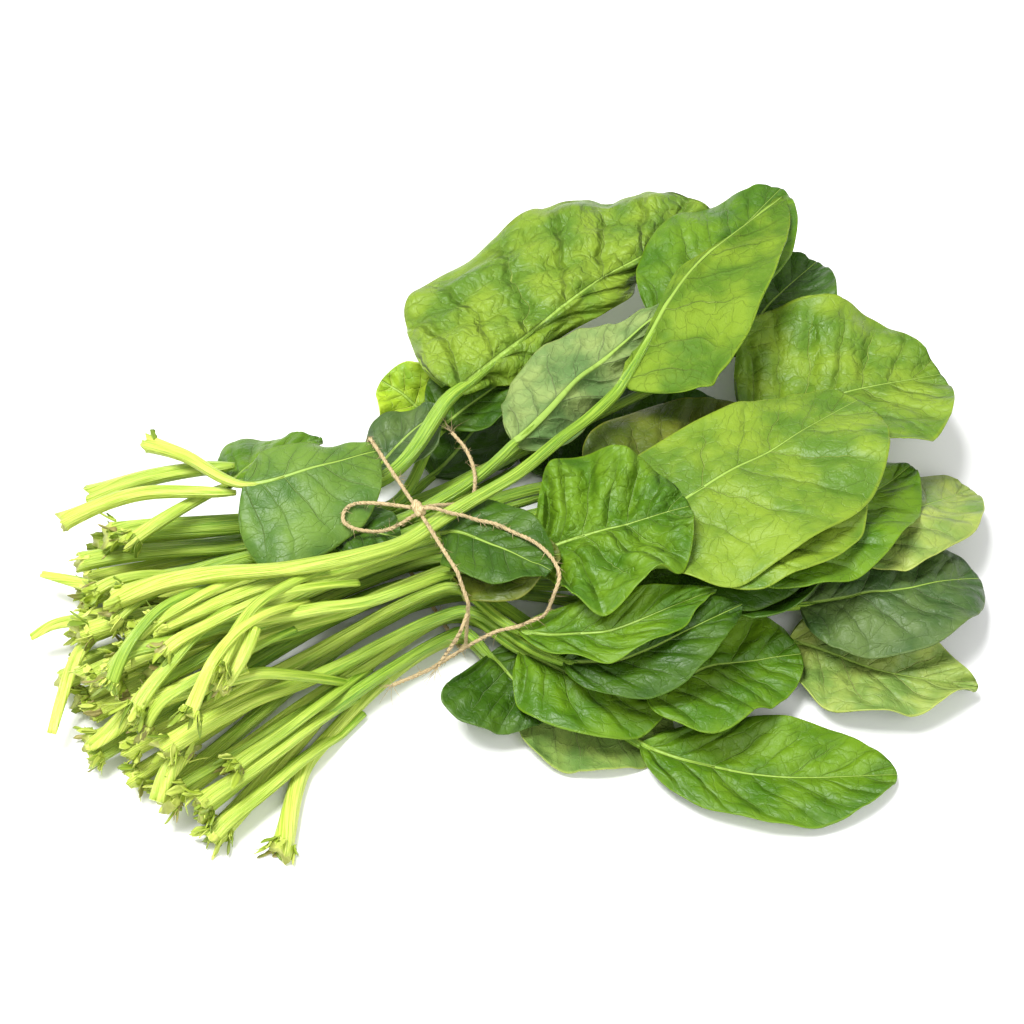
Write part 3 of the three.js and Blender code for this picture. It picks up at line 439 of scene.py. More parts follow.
def stalk_skin(leaf, knots, s_fine, reach):
    """The stalk's tube, with ribs along it and a furrow on top. Under a blade it tapers away."""
    s, angle = np.meshgrid(s_fine, np.arange(STALK_SIDES) * 2 * np.pi / STALK_SIDES, indexing="ij")
    skin, radius, upward = stalk(leaf, s, angle, reach)
    centre = along_path(knots, s_fine)[:, None]
    shift = draws.uniform(0, 6, 4)
    ribs = 1 + 0.035 * np.cos(5 * angle + 0.012 * s + shift[0]) + 0.02 * np.cos(11 * angle + shift[1])
    ribs = ribs + 0.04 * np.sin(s / 17 + shift[2]) + 0.02 * np.sin(s / 6.5 + shift[3])
    ribs = ribs - 0.14 - 0.04 * (1 - np.exp(-s / 50))
    furrow = 0.1 + 0.32 * np.exp(-s / 28)
    ribs = ribs - furrow * np.exp(-(((angle - np.pi / 2) / 0.5) ** 2)) - 0.02
    if "form" in leaf:
        neck, end = knots[1][-3], s_fine[-1]
        taper = 1 - 0.75 * np.clip((s - neck + 6) / (end - neck + 6), 0, 1)
        sunk = np.clip((s - neck + 5) / 12, 0, 1) * (0.9 * radius * taper - 0.3)
    elif leaf["name"] in PRESSED:
        flat = 1 - PRESSED[leaf["name"]] * np.sin(angle) ** 2
        taper, sunk = 0.9 * flat + 1.1 * s / s_fine[-1] * (np.abs(np.cos(angle)) - 0.25), 0 * s
    else:
        taper, sunk = 1 - 0.5 * np.clip(s / s_fine[-1] * 5 - 4, 0, 1) ** 2, 0 * s
    skin = centre + (skin - centre) * (ribs * taper)[..., None]
    torn = np.exp(-s / 2.2) * (0.8 * np.sin(3 * angle + shift[0]) + 0.5 * np.sin(7 * angle + shift[2]))
    skin = skin + unit(centre[1] - centre[0]) * torn[..., None]
    return skin - upward * sunk[..., None], s, radius


def laid_stalk(leaf):
    """A stalk without a blade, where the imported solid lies."""
    knots = curve_knots(leaf["path"])
    end = knots[1][-1]
    known_s, along_stalk = packed_rise(leaf)
    s_fine = np.linspace(0, end, int(end / STUB_STEP))
    skin, s, radius = stalk_skin(leaf, knots, s_fine, end)
    skin[..., 2] += smooth_between(known_s, along_stalk[:, None], s_fine)
    lay(skin)
    note_tie(skin)
    return skin, {"s": s, "radius": radius}


def laid_leaf(leaf):
    """The blade's two faces and the stalk's skin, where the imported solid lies.

    Its rise is carried over a finer grid. What then still touches the leaves below rises more.
    """
    knots = curve_knots(leaf["path"])
    neck, end = knots[1][-3], knots[1][-1]
    length = end - neck
    known_s, along_stalk, known_m, known_v, over_blade = packed_rise(leaf)

    rows, columns = PLAIN_GRID if leaf.get("plain") else BLADE_GRID
    m_fine = np.linspace(0.004, 1, rows) ** 1.25
    v_fine = np.linspace(-1, 1, columns)
    m, v = np.meshgrid(m_fine, v_fine, indexing="ij")
    half = blade(leaf, m, v, 0 * m)[2]
    place, up, half = blade(leaf, m, v, pucker(leaf, m, v, half, length))
    place[..., 2] += smooth_between(known_v, smooth_between(known_m, over_blade, m_fine).T, v_fine).T
    rib = (0.15 + MIDRIB_DEPTH * (1 - m) ** 0.8) * np.exp(-((half * v / 1.3) ** 2))
    groove = 0.35 * (1 - m) * np.exp(-((half * v / 1.6) ** 2))
    thickness = BLADE_THICKNESS / 2 * (1 - 0.5 * np.abs(v) ** 8)
    top = place + up * (thickness - groove)[..., None]
    under = place - up * (thickness + rib)[..., None]

    reach = neck + UNDER_BLADE * length
    s_fine = np.linspace(0, reach, int(reach / STALK_STEP))
    skin, s, radius = stalk_skin(leaf, knots, s_fine, neck - NECK_OVERLAP)
    known = np.concatenate([known_s, neck + known_m * length])
    values = np.concatenate([along_stalk, over_blade[:, len(known_v) // 2]])[:, None]
    skin[..., 2] += smooth_between(known, values, s_fine)

    on_stalk = s_fine < neck
    stalk_need = np.maximum(overlap(skin).max(1), 0)[on_stalk]
    blade_need = np.maximum(np.maximum(overlap(under), overlap(top)), 0)
    need = np.concatenate([np.repeat(stalk_need[:, None], columns, 1), blade_need])
    more = evened(widest(need, REACH), REACH)
    stalk_rows = int(on_stalk.sum())
    top[..., 2] += more[stalk_rows:]
    under[..., 2] += more[stalk_rows:]
    at = np.concatenate([s_fine[on_stalk], neck + m_fine * length])
    skin[..., 2] += np.interp(s_fine, at, more[:, columns // 2])[:, None]
    lay(np.maximum(top, under) if abs(leaf["roll"][0]) < 90 else under)
    lay(skin)
    for points in (top, under, skin):
        note_tie(points)
    gap = np.linalg.norm(np.gradient(top, m_fine, axis=0), axis=-1) / vein_rows(leaf)
    return top, under, skin, {"m": m, "v": v, "half": half, "length": length, "s": s, "radius": radius,
                              "gap": gap}


def overlap(points):
    """How far what has been laid down stands over these points, with a small clearance."""
    return laid[squares(points)] + CLEARANCE - points[..., 2]


def quads(rows, columns, start, ring=False):
    """A grid's faces by corner number, and each corner's row and column. A ring closes on itself."""
    i, j = np.meshgrid(np.arange(rows - 1), np.arange(columns - (0 if ring else 1)), indexing="ij")
    row_of = np.stack([i, i, i + 1, i + 1], -1).reshape(-1, 4)
    column_of = np.stack([j, j + 1, j + 1, j], -1).reshape(-1, 4)
    return start + row_of * columns + column_of % columns, row_of, column_of


def caps(rows, sides, start):
    """The triangles that close a tube's first and last ring, round two points added after it."""
    first = start + np.arange(sides)
    last = first + (rows - 1) * sides
    tip = np.full(sides, start + rows * sides)
    return (np.stack([first, np.roll(first, -1), tip], -1),
            np.stack([np.roll(last, -1), last, tip + 1], -1))


def rims(rows, columns):
    """The faces round the edges of two grids, the second grid numbered after the first."""
    ids = np.arange(rows * columns).reshape(rows, columns)
    lines = (ids[:, -1], ids[::-1, 0], ids[-1, ::-1], ids[0])
    return np.concatenate([
        np.stack([line[:-1], line[:-1] + ids.size, line[1:] + ids.size, line[1:]], -1) for line in lines
    ])


def piece_from(name, points, groups, layers, attributes, materials):
    """A smooth-shaded mesh object at the origin.

    groups lists (faces by corner number, material number, {layer: texture place of each corner});
    points are millimetres from the middle of the tie.
    """
    mesh = bpy.data.meshes.new(name)
    totals = np.concatenate([np.full(len(faces), faces.shape[1]) for faces, _, _ in groups])
    loops = np.concatenate([faces.ravel() for faces, _, _ in groups])
    mesh.vertices.add(len(points))
    mesh.vertices.foreach_set("co", ((points - FOOTPRINT_MIDDLE) * MM).astype(np.float32).ravel())
    mesh.loops.add(len(loops))
    mesh.loops.foreach_set("vertex_index", loops.astype(np.int32))
    mesh.polygons.add(len(totals))
    starts = np.concatenate([[0], np.cumsum(totals)[:-1]])
    mesh.polygons.foreach_set("loop_start", starts.astype(np.int32))
    numbers = np.concatenate([np.full(len(faces), number) for faces, number, _ in groups])
    mesh.polygons.foreach_set("material_index", numbers.astype(np.int32))
    for layer in layers:
        flat = np.concatenate([places[layer].reshape(-1, 2) for _, _, places in groups])
        mesh.uv_layers.new(name=layer).data.foreach_set("uv", flat.astype(np.float32).ravel())
    for label, values in attributes.items():
        attribute = mesh.attributes.new(label, "FLOAT", "POINT")
        attribute.data.foreach_set("value", values.astype(np.float32))
    mesh.update(calc_edges=True)
    mesh.polygons.foreach_set("use_smooth", np.ones(len(totals), bool))
    for material in materials:
        mesh.materials.append(material)
    made = bpy.data.objects.new(name, mesh)
    bpy.context.scene.collection.objects.link(made)
    return made


def stalk_groups(skin, sizes, start):
    """The faces of a stalk's tube and its two ends, and the two points in the middle of them."""
    count, sides = skin.shape[:2]
    round_it = skin[2][np.linspace(0, sides, CUT_POINTS, endpoint=False).astype(int)]
    cut_ends.append((round_it, unit(skin[0].mean(0) - skin[3].mean(0))))
    faces, row_of, column_of = quads(count, sides, start, ring=True)
    s, radius = sizes["s"][row_of, 0], sizes["radius"][row_of, 0]
    angle = 2 * np.pi * column_of / sides
    places = {"skin": np.stack([s, angle * radius], -1) / 100, "veins": np.stack([s, angle], -1)}
    groups = [(faces[:, ::-1], ON_STALK, {layer: values[:, ::-1] for layer, values in places.items()})]
    blank = {layer: np.zeros((sides, 3, 2)) for layer in places}
    cut, far = caps(count, sides, start)
    groups += [(cut, ON_CUT, blank), (far, ON_STALK, blank)]
    inward = 0.25 * (skin[1].mean(0) - skin[0].mean(0))
    return groups, [skin[0].mean(0) + inward, skin[-1].mean(0)]


def leaf_piece(leaf, materials):
    """One leaf's mesh: the blade's two faces and its rim, and the stalk's tube with closed ends."""
    if "form" in leaf:
        top, under, skin, sizes = laid_leaf(leaf)
        rows, columns = top.shape[:2]
        size = rows * columns
        m, v = sizes["m"], sizes["v"]
        on_skin = np.stack([sizes["length"] * m, sizes["half"] * v], -1) / 100
        on_veins = np.stack([vein_count(leaf, m, v), v], -1)
        faces, row_of, column_of = quads(rows, columns, 0)
        places = {"skin": on_skin[row_of, column_of], "veins": on_veins[row_of, column_of]}
        turned = {layer: values[:, ::-1] for layer, values in places.items()}
        groups = [(faces, ON_UPPER, places), ((faces + size)[:, ::-1], ON_UNDER, turned)]
        edge = rims(rows, columns)
        groups.append((edge, ON_UPPER, {"skin": on_skin.reshape(-1, 2)[edge % size],
                                        "veins": on_veins.reshape(-1, 2)[edge % size]}))
        blades = [top.reshape(-1, 3), under.reshape(-1, 3)]
        gap = np.tile(sizes["gap"].ravel(), 2)
        crumple = np.full(2 * size, PUCKERED.get(leaf["name"], 1.0))
    else:
        skin, sizes = laid_stalk(leaf)
        groups, blades, gap, crumple, size = [], [], np.zeros(0), np.zeros(0), 0
    more, ends = stalk_groups(skin, sizes, 2 * size)
    points = np.concatenate([*blades, skin.reshape(-1, 3), ends])
    rest = np.zeros(len(points) - len(gap))
    attributes = {"vein_gap": np.concatenate([gap, rest]), "crumple": np.concatenate([crumple, rest]),
                  "tint": np.full(len(points), draws.uniform(0, 1))}
    groups += more
    made = piece_from(leaf["name"] + "_skin", points, groups, ("skin", "veins"), attributes, materials)
    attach(made, "root")
    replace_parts(made, leaf["name"])
    return made


# Colours of the upper and the under side, as seen in even light.
TONES = {
    "green": ((82, 123, 16), (98, 132, 32)),
    "bright": ((104, 138, 36), (118, 148, 56)),
    "lit": ((142, 178, 40), (140, 170, 66)),
    "matt": ((82, 119, 40), (90, 126, 48)),
    "sage": ((108, 138, 76), (118, 146, 84)),
    "dark": ((55, 92, 8), (76, 110, 30)),
    "blue": ((72, 100, 48), (98, 126, 72)),
    "pale": ((132, 158, 74), (112, 142, 66)),
    "bronze": ((88, 104, 28), (106, 118, 50)),
    "stalk": ((176, 204, 84), (176, 204, 84)),
}
# Leaves whose colour is another one of these than the tone they are listed with.
OWN_TONES = {"leaf_small_bright": "lit", "leaf_crumpled": "green", "leaf_big_right": "bright",
             "leaf_bright_far": "green", "leaf_over_stems": "matt", "leaf_pale_folded": "sage"}


def linear(colour):
    """A colour given in 0 to 255 as the eye sees it, turned to the light it stands for."""
    share = np.array(colour) / 255
    return tuple(np.where(share < 0.04045, share / 12.92, ((share + 0.055) / 1.055) ** 2.4)) + (1.0,)


def node(tree, kind, inputs=(), **settings):
    """A shader node with its settings, and each input given as a value or as an output socket."""
    made = tree.nodes.new(kind)
    for key, value in settings.items():
        setattr(made, key, value)
    for key, value in dict(inputs).items():
        if isinstance(value, bpy.types.NodeSocket):
            tree.links.new(value, made.inputs[key])
        else:
            made.inputs[key].default_value = value
    return made


def maths(tree, operation, first, second=0.0, third=0.0):
    """The output of a Math node."""
    return node(tree, "ShaderNodeMath", {0: first, 1: second, 2: third}, operation=operation).outputs[0]


def mixed(tree, share, first, second):
    """The first colour, with this share of the second."""
    return node(tree, "ShaderNodeMix", {0: share, 6: first, 7: second}, data_type="RGBA").outputs[2]


def between(tree, value, low, high, first=0.0, last=1.0):
    """A smooth step from first, at low, to last, at high."""
    ends = {0: value, 1: low, 2: high, 3: first, 4: last}
    return node(tree, "ShaderNodeMapRange", ends, interpolation_type="SMOOTHSTEP").outputs[0]


def times(tree, first, second):
    """Two values multiplied."""
    return maths(tree, "MULTIPLY", first, second)


def noise(tree, place, scale, detail):
    """The value of a noise texture."""
    made = node(tree, "ShaderNodeTexNoise", {"Vector": place, "Scale": scale, "Detail": detail})
    return made.outputs[0]


def uv_place(tree, layer):
    """A place on one of the piece's own texture maps."""
    return node(tree, "ShaderNodeUVMap", uv_map=layer).outputs[0]


def object_place(tree):
    """A place in the object, in metres."""
    return node(tree, "ShaderNodeTexCoord").outputs["Object"]


def point_value(tree, name):
    """A value kept at the piece's points."""
    return node(tree, "ShaderNodeAttribute", attribute_name=name).outputs["Fac"]


def new_material(name):
    """A material, its node tree and its shader."""
    material = bpy.data.materials.new(name)
    material.use_nodes = True
    return material, material.node_tree, material.node_tree.nodes["Principled BSDF"]


def add_bump(tree, shader, height, strength, distance):
    """Relief in the light that falls on a surface."""
    bump = node(tree, "ShaderNodeBump", {"Height": height, "Strength": strength, "Distance": distance})
    tree.links.new(bump.outputs[0], shader.inputs["Normal"])


def vein_group():
    """Masks of a blade's midrib, side veins and the net between them, the blade's mottling, the painted
    shade in the valleys along the veins and a painted highlight along the margin.

    The veins map counts side veins along x and runs across the blade along y; the skin map is
    in tenths of a metre; vein_gap is the distance from one side vein to the next in millimetres.
    Quilt is the height of the bulges between the veins, in millimetres.
    """
    tree = bpy.data.node_groups.new("leaf_veins", "ShaderNodeTree")
    labels = ("Midrib", "Side", "Net", "Mottle", "Rim_Highlight", "Valley_Shade", "Quilt")
    for label in labels:
        tree.interface.new_socket(label, in_out="OUTPUT", socket_type="NodeSocketFloat")
    veins = node(tree, "ShaderNodeSeparateXYZ", {0: uv_place(tree, "veins")})
    skin = uv_place(tree, "skin")
    skin_xyz = node(tree, "ShaderNodeSeparateXYZ", {0: skin})
    gap = point_value(tree, "vein_gap")
    place = object_place(tree)
    wander = maths(tree, "SUBTRACT", noise(tree, place, 90.0, 2.0), 0.5)
    count = maths(tree, "MULTIPLY_ADD", wander, 0.5, veins.outputs[0])
    out_v = maths(tree, "ABSOLUTE", veins.outputs[1])

    across = maths(tree, "ABSOLUTE", times(tree, skin_xyz.outputs[1], 100.0))
    width = maths(tree, "MAXIMUM", maths(tree, "MULTIPLY_ADD", veins.outputs[0], -0.11, 0.85), 0.22)
    midrib = between(tree, maths(tree, "DIVIDE", across, width), 0.5, 1.3, 1.0, 0.0)
    # strong side veins at the even counts, weak ones at the odd
    strong = times(tree, maths(tree, "PINGPONG", times(tree, count, 0.5), 0.5), 2.0)
    strong = times(tree, strong, gap)
    weak = times(tree, maths(tree, "PINGPONG", count, 0.5), gap)
    thin = maths(tree, "MULTIPLY_ADD", out_v, -0.2, 0.42)
    side = between(tree, strong, 0.0, thin, 1.0, 0.0)
    lesser = between(tree, weak, 0.0, times(tree, thin, 0.7), 1.0, 0.0)
    side = maths(tree, "MAXIMUM", side, times(tree, lesser, 0.6))
    side = times(tree, side, between(tree, out_v, 0.5, 0.95, 1.0, 0.0))

    bent = node(tree, "ShaderNodeTexNoise", {"Vector": skin, "Scale": 14.0, "Detail": 3.0}).outputs[1]
    bent = node(tree, "ShaderNodeVectorMath", {0: bent, 1: (0.5, 0.5, 0.5)},
                operation="SUBTRACT").outputs[0]
    bent = node(tree, "ShaderNodeVectorMath", {0: bent, 1: (0.09, 0.09, 0.0), 2: skin},
                operation="MULTIPLY_ADD").outputs[0]
    wide, cells, fine = (
        node(tree, "ShaderNodeTexVoronoi", {"Vector": bent, "Scale": scale}, feature="DISTANCE_TO_EDGE",
             voronoi_dimensions="2D").outputs["Distance"]
        for scale in (8.5, 20.0, 70.0))
    net = between(tree, cells, 0.0, 0.045, 1.0, 0.0)
    net = maths(tree, "MAXIMUM", net, times(tree, between(tree, fine, 0.0, 0.12, 1.0, 0.0), 0.35))
    main = maths(tree, "MINIMUM", times(tree, strong, 0.85), across)
    main = maths(tree, "MINIMUM", main, maths(tree, "MULTIPLY_ADD", weak, 1.3, 0.6))
    hill = between(tree, main, -0.2, 4.2)
    # painted shade: the blade's colour is darkened in this band along each vein
    valley = between(tree, main, 0.0, 2.4, 1.0, 0.0)
    quilt = times(tree, between(tree, wide, -0.15, 0.45), 0.5)
    quilt = maths(tree, "MULTIPLY_ADD", between(tree, cells, -0.1, 0.4), 0.16, quilt)
    flat = times(tree, between(tree, out_v, 0.75, 1.0, 1.0, 0.4), point_value(tree, "crumple"))
    quilt = times(tree, maths(tree, "MULTIPLY_ADD", hill, 0.7, quilt), flat)
    mottle = noise(tree, place, 55.0, 5.0)
    # painted highlight: a paler band along the margin
    edge = between(tree, out_v, 0.965, 0.99)
    out = tree.nodes.new("NodeGroupOutput")
    for label, value in zip(labels, (midrib, side, net, mottle, edge, valley, quilt)):
        tree.links.new(value, out.inputs[label])
    return tree


VEINS = vein_group()


def blade_material(name, colour, face):
    """A blade's skin. The upper face is satin with sunken pale veins, the under face matt with raised
    ones; both have painted shade in the valleys along the veins and a painted highlight at the margin."""
    upper = face == "upper"
    material, tree, shader = new_material(name + "_" + face)
    veins = node(tree, "ShaderNodeGroup", node_tree=VEINS).outputs
    base = np.array(linear(colour))
    # the darker green serves the mottling and the painted shade in the valleys, the paler one the mottling
    # and the painted highlight at the margin
    dark_mottle_and_shade = tuple(base[:3] * (0.48, 0.62, 0.55)) + (1.0,)
    light = tuple(np.minimum(base[:3] * (1.7, 1.35, 1.3), 1)) + (1.0,)
    vein = tuple(np.minimum(base[:3] * (1.9, 1.5, 1.7) + 0.05, 1)) + (1.0,)
    skin = mixed(tree, between(tree, veins["Mottle"], 0.34, 0.66), dark_mottle_and_shade, light)
    skin = mixed(tree, 0.3, skin, tuple(base))
    # each mask lays its own colour over the skin: the veins' pale lines, painted shade in the valleys
    # beside them and a painted highlight at the margin
    for label, share, over in (("Valley_Shade", 0.22, dark_mottle_and_shade), ("Net", 0.12 if upper else 0.2, vein),
                               ("Side", 0.75, vein), ("Midrib", 0.8, linear((152, 184, 78))),
                               ("Rim_Highlight", 0.7, light)):
        skin = mixed(tree, times(tree, veins[label], share), skin, over)
    tree.links.new(skin, shader.inputs["Base Color"])
    lines = maths(tree, "MULTIPLY_ADD", veins["Net"], 0.12, times(tree, veins["Side"], 0.35))
    lines = maths(tree, "MAXIMUM", lines, times(tree, veins["Midrib"], 0.4))
    grain = noise(tree, object_place(tree), 700.0, 3.0)
    lines = maths(tree, "MULTIPLY_ADD", lines, -1.0 if upper else 1.3, times(tree, grain, 0.12))
    relief = maths(tree, "MULTIPLY_ADD", veins["Quilt"], 1.0 if upper else -0.6, lines)
    add_bump(tree, shader, relief, 1.0, 0.0011)
    rough = maths(tree, "MULTIPLY_ADD", veins["Mottle"], 0.3, 0.3 if upper else 0.5)
    tree.links.new(rough, shader.inputs["Roughness"])
    shader.inputs["Specular IOR Level"].default_value = 0.35 if upper else 0.2
    return material


def stalk_material(name):
    """A juicy ribbed stalk: pale where it was cut and greener toward the blade, with streaks along it
    that are partly its own and partly painted shade in the furrows and painted highlight on the ridges."""
    material, tree, shader = new_material(name)
    skin = uv_place(tree, "skin")
    stretched = node(tree, "ShaderNodeMapping", {"Vector": skin, "Scale": (1.6, 60.0, 1.0)})
    streaks = noise(tree, stretched.outputs[0], 2.5, 5.0)
    patches = noise(tree, object_place(tree), 30.0, 3.0)
    from_cut = node(tree, "ShaderNodeSeparateXYZ", {0: uv_place(tree, "veins")}).outputs[0]
    patched = maths(tree, "MULTIPLY_ADD", patches, 90.0, from_cut)
    patched = maths(tree, "MULTIPLY_ADD", point_value(tree, "tint"), 110.0, patched)
    greener = between(tree, patched, 70.0, 235.0)
    # partly painted light: the streaks follow the bump, darker in its furrows and paler on its ridges
    streak_shade_and_highlight = between(tree, streaks, 0.3, 0.66)
    pale = mixed(tree, streak_shade_and_highlight, linear((158, 188, 44)), linear((220, 232, 108)))
    green = mixed(tree, streak_shade_and_highlight, linear((88, 136, 20)), linear((158, 192, 62)))
    tree.links.new(mixed(tree, greener, pale, green), shader.inputs["Base Color"])
    add_bump(tree, shader, streaks, 0.9, 0.0012)
    shader.inputs["Roughness"].default_value = 0.36
    shader.inputs["Subsurface Weight"].default_value = 0.15
    shader.inputs["Subsurface Radius"].default_value = (1.0, 1.0, 0.35)
    shader.inputs["Subsurface Scale"].default_value = 0.002
    return material


def cut_material(name, colour, roughness):
    """One colour, broken up a little."""
    material, tree, shader = new_material(name)
    patches = noise(tree, object_place(tree), 600.0, 3.0)
    darker = tuple(np.array(colour) * 0.75)
    tree.links.new(mixed(tree, patches, linear(darker), linear(colour)), shader.inputs["Base Color"])
    shader.inputs["Roughness"].default_value = roughness
    return material


STALK = stalk_material("stalk")
CUT_END = cut_material("cut_end", (206, 216, 104), 0.6)
FACES = {
    tone: (blade_material("leaf_" + tone, upper, "upper"), blade_material("leaf_" + tone, under, "under"))
    for tone, (upper, under) in TONES.items()
}
for leaf in LEAVES:
    tone = OWN_TONES.get(leaf["name"], leaf["tone"])
    leaf_piece(leaf, (*FACES[tone], STALK, CUT_END))


# ---------------------------------------------------------------------------------------------
# The thin stalks: young stalks stripped of their blades, caught loose among the others. Each lies
# across the thick ones from its cut end and slips down between them before it reaches the tie.
# ---------------------------------------------------------------------------------------------
THIN_SIDES = 12
THIN_STEP = 1.2
THIN_BEND = 7  # steps over which one bends where it rests on another
THIN_STIFF = 14  # steps by the cut end that keep up half way to the highest of them
THIN_UNDER = 0.6  # share of the heights on its way that one lies over; it goes under the rest
THIN_SLIP = 34  # length over which one goes down between the others
THIN_SINK = 5  # how far it goes down there, in its own radii
# Three places on each one's way over the bunch, in x and y.
THIN_ROUTES = [
    [(-109, -25), (-67, -18), (-35, -13)], [(-106, -29), (-66, -36), (-36, -35)],
    [(-104, -66), (-72, -56), (-38, -42)], [(-84, -36), (-64, -20), (-33, -9)],
    [(-106, -9), (-79, -5), (-43, 2)], [(-113, -9), (-84, -16), (-43, -14)],
    [(-107, -49), (-75, -44), (-40, -33)], [(-103, -58), (-68, -50), (-34, -36)],
    [(-111, -34), (-82, -31), (-51, -23)], [(-103, 8), (-81, 13), (-60, 14)],
    [(-89, -52), (-58, -44), (-30, -31)], [(-104, 26), (-84, 24), (-66, 18)],
    [(-112, -31), (-80, -16), (-53, -4)], [(-115, -18), (-89, -4), (-63, 2)],
    [(-96, -19), (-59, -16), (-26, -18)], [(-98, -44), (-74, -28), (-44, -17)],
]


def pulled_tight(heights):
    """The height of a string pulled tight over the given ones: the highest chord over each."""
    step = np.arange(len(heights))
    i, j, k = step[:, None, None], step[:, None], step
    chord = (heights[:, None, None] * (j - k) + heights[:, None] * (k - i)) / np.maximum(j - i, 1)
    return np.maximum(np.where((i < j) & (i <= k) & (k <= j), chord, 0).max((0, 1)), heights)


def thin_stalk(route, thick):
    """One thin stalk's skin: a flattened tube round a smooth line through the route.

    The line's height is that of a string pulled tight over what lies below it, evened out, plus
    most of the stalk's radius. The highest of what it meets doesn't count, because it goes
    under that. Along its last stretch it sinks between the others.
    """
    knots = curve_knots([(x, y, 0) for x, y in route])
    s = np.arange(0, knots[1][-1], THIN_STEP)
    line = along_path(knots, s)
    aside = np.cross(unit(np.gradient(line, axis=0)), [0.0, 0.0, 1.0])
    tops = laid[squares(line[:, None] + aside[:, None] * thick * np.array([-0.7, 0, 0.7])[:, None])].max(1)
    tops = np.minimum(tops, np.quantile(tops, THIN_UNDER))
    tops[:THIN_STIFF] = (tops[:THIN_STIFF] + tops[:THIN_STIFF + 6].max()) / 2
    line[:, 2] = evened(pulled_tight(tops)[:, None], THIN_BEND)[:, 0] + 0.8 * thick
    line[:, 2] -= THIN_SINK * thick * np.clip((s - s[-1] + THIN_SLIP) / THIN_SLIP, 0, 1) ** 1.6
    line[:, 2] = np.maximum(line[:, 2], thick)
    side = unit(aside)
    upward = unit(np.cross(aside, np.gradient(line, axis=0)))
    s, angle = np.meshgrid(s, np.arange(THIN_SIDES) * 2 * np.pi / THIN_SIDES, indexing="ij")
    radius = thick * (1 - 0.3 * s / s[-1, 0] + 0.35 * np.exp(-s / 8))
    furrow = 1 - 0.3 * np.exp(-(((angle - np.pi / 2) / 0.5) ** 2)) + 0.05 * np.cos(5 * angle)
    skin = line[:, None] + side[:, None] * (1.15 * radius * furrow * np.cos(angle))[..., None]
    skin = skin + upward[:, None] * (0.85 * radius * furrow * np.sin(angle))[..., None]
    lay(skin)
    return skin, {"s": s, "radius": radius}


def thin_stalks(name):
    """All of them as one mesh. The later ones lie over the earlier."""
    points, groups, tints, start = [], [], [], 0
    for route in THIN_ROUTES:
        skin, sizes = thin_stalk(route, draws.uniform(1.5, 2.5))
        more, ends = stalk_groups(skin, sizes, start)
        groups += [(faces, number - ON_STALK, places) for faces, number, places in more]
        points += [skin.reshape(-1, 3), np.array(ends)]
        size = skin.shape[0] * skin.shape[1]
        tints.append(np.full(size + 2, draws.uniform(0.1, 1.3)))
        start += size + 2
    made = piece_from(name, np.concatenate(points), groups, ("skin", "veins"),
                      {"tint": np.concatenate(tints)}, (STALK, CUT_END))
    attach(made, "root")
    return made


thin_stalks("thin_stalks")


# ---------------------------------------------------------------------------------------------
# The torn ends: strips of sheath, fibre and bruised leaf base that were left on the stalks when
# they were cut. They are part of the stalks, split from their skin, and curl away from the cut.
# ---------------------------------------------------------------------------------------------
STRIP_ROWS = 8
STRIP_COLUMNS = 4
STRIPS_PER_STALK = 15


def torn_strips(count):
    """Cupped ribbons that start on a stalk's skin and bend away past its cut end.

    A strip's middle is start + length (t ahead + t^2 bend); its half width is kept almost to
    the end and rounds off there, with a ragged edge. Returns top and under grids, the
    place on each strip and its shade.
    """
    t = np.linspace(0, 1, STRIP_ROWS)[None, :, None, None]
    v = np.linspace(-1, 1, STRIP_COLUMNS)[None, None, :, None]
    ring, ahead = (np.stack(values) for values in zip(*cut_ends))
    # few are left on the stalks that were cut short or lie apart on the far side
    in_crown = (ring[:, 0, 0] < -80) & (ring[:, 0, 1] < 45)
    weight = np.where(in_crown, 1, 0.08)
    which = draws.choice(len(cut_ends), count, p=weight / weight.sum())
    around = draws.integers(0, CUT_POINTS, count)
    ring, ahead = ring[which], ahead[which]
    start = ring[np.arange(count), around]
    outward = unit(start - ring.mean(1))
    across = unit(np.cross(ahead, outward))
    ahead = unit(ahead + 0.2 * outward + 0.25 * draws.normal(0, 1, (count, 3)) * (1, 1, 0.5))
    length = draws.uniform(2.0, 6.5, (count, 1, 1, 1))
    half = draws.uniform(0.4, 1.5, (count, 1, 1, 1))
    bend = 0.5 * outward + 0.5 * draws.normal(0, 1, (count, 3))
    ragged = 1 + 0.25 * np.sin(9 * t + 5 * v + draws.uniform(0, 6, (count, 1, 1, 1)))
    width = half * (0.75 + 0.5 * t) * np.sqrt(1 - t**3) * ragged + 0.08
    middle = start[:, None, None] + length * (t * ahead[:, None, None] + 0.45 * t**2 * bend[:, None, None])
    twist = draws.normal(0, 0.9, (count, 1, 1, 1)) * t
    side = np.cos(twist) * across[:, None, None] + np.sin(twist) * outward[:, None, None]
    face = np.cos(twist) * outward[:, None, None] - np.sin(twist) * across[:, None, None]
    place = middle + side * width * v + face * (0.5 * width * v**2)
    place[..., 2] = np.maximum(place[..., 2], 0.6)
    thick = 0.22 * (1 - 0.5 * t) * face
    shade = draws.uniform(0.15, 1.05, (count, 1, 1)) * np.ones((1, STRIP_ROWS, STRIP_COLUMNS))
    return place + thick, place - thick, shade


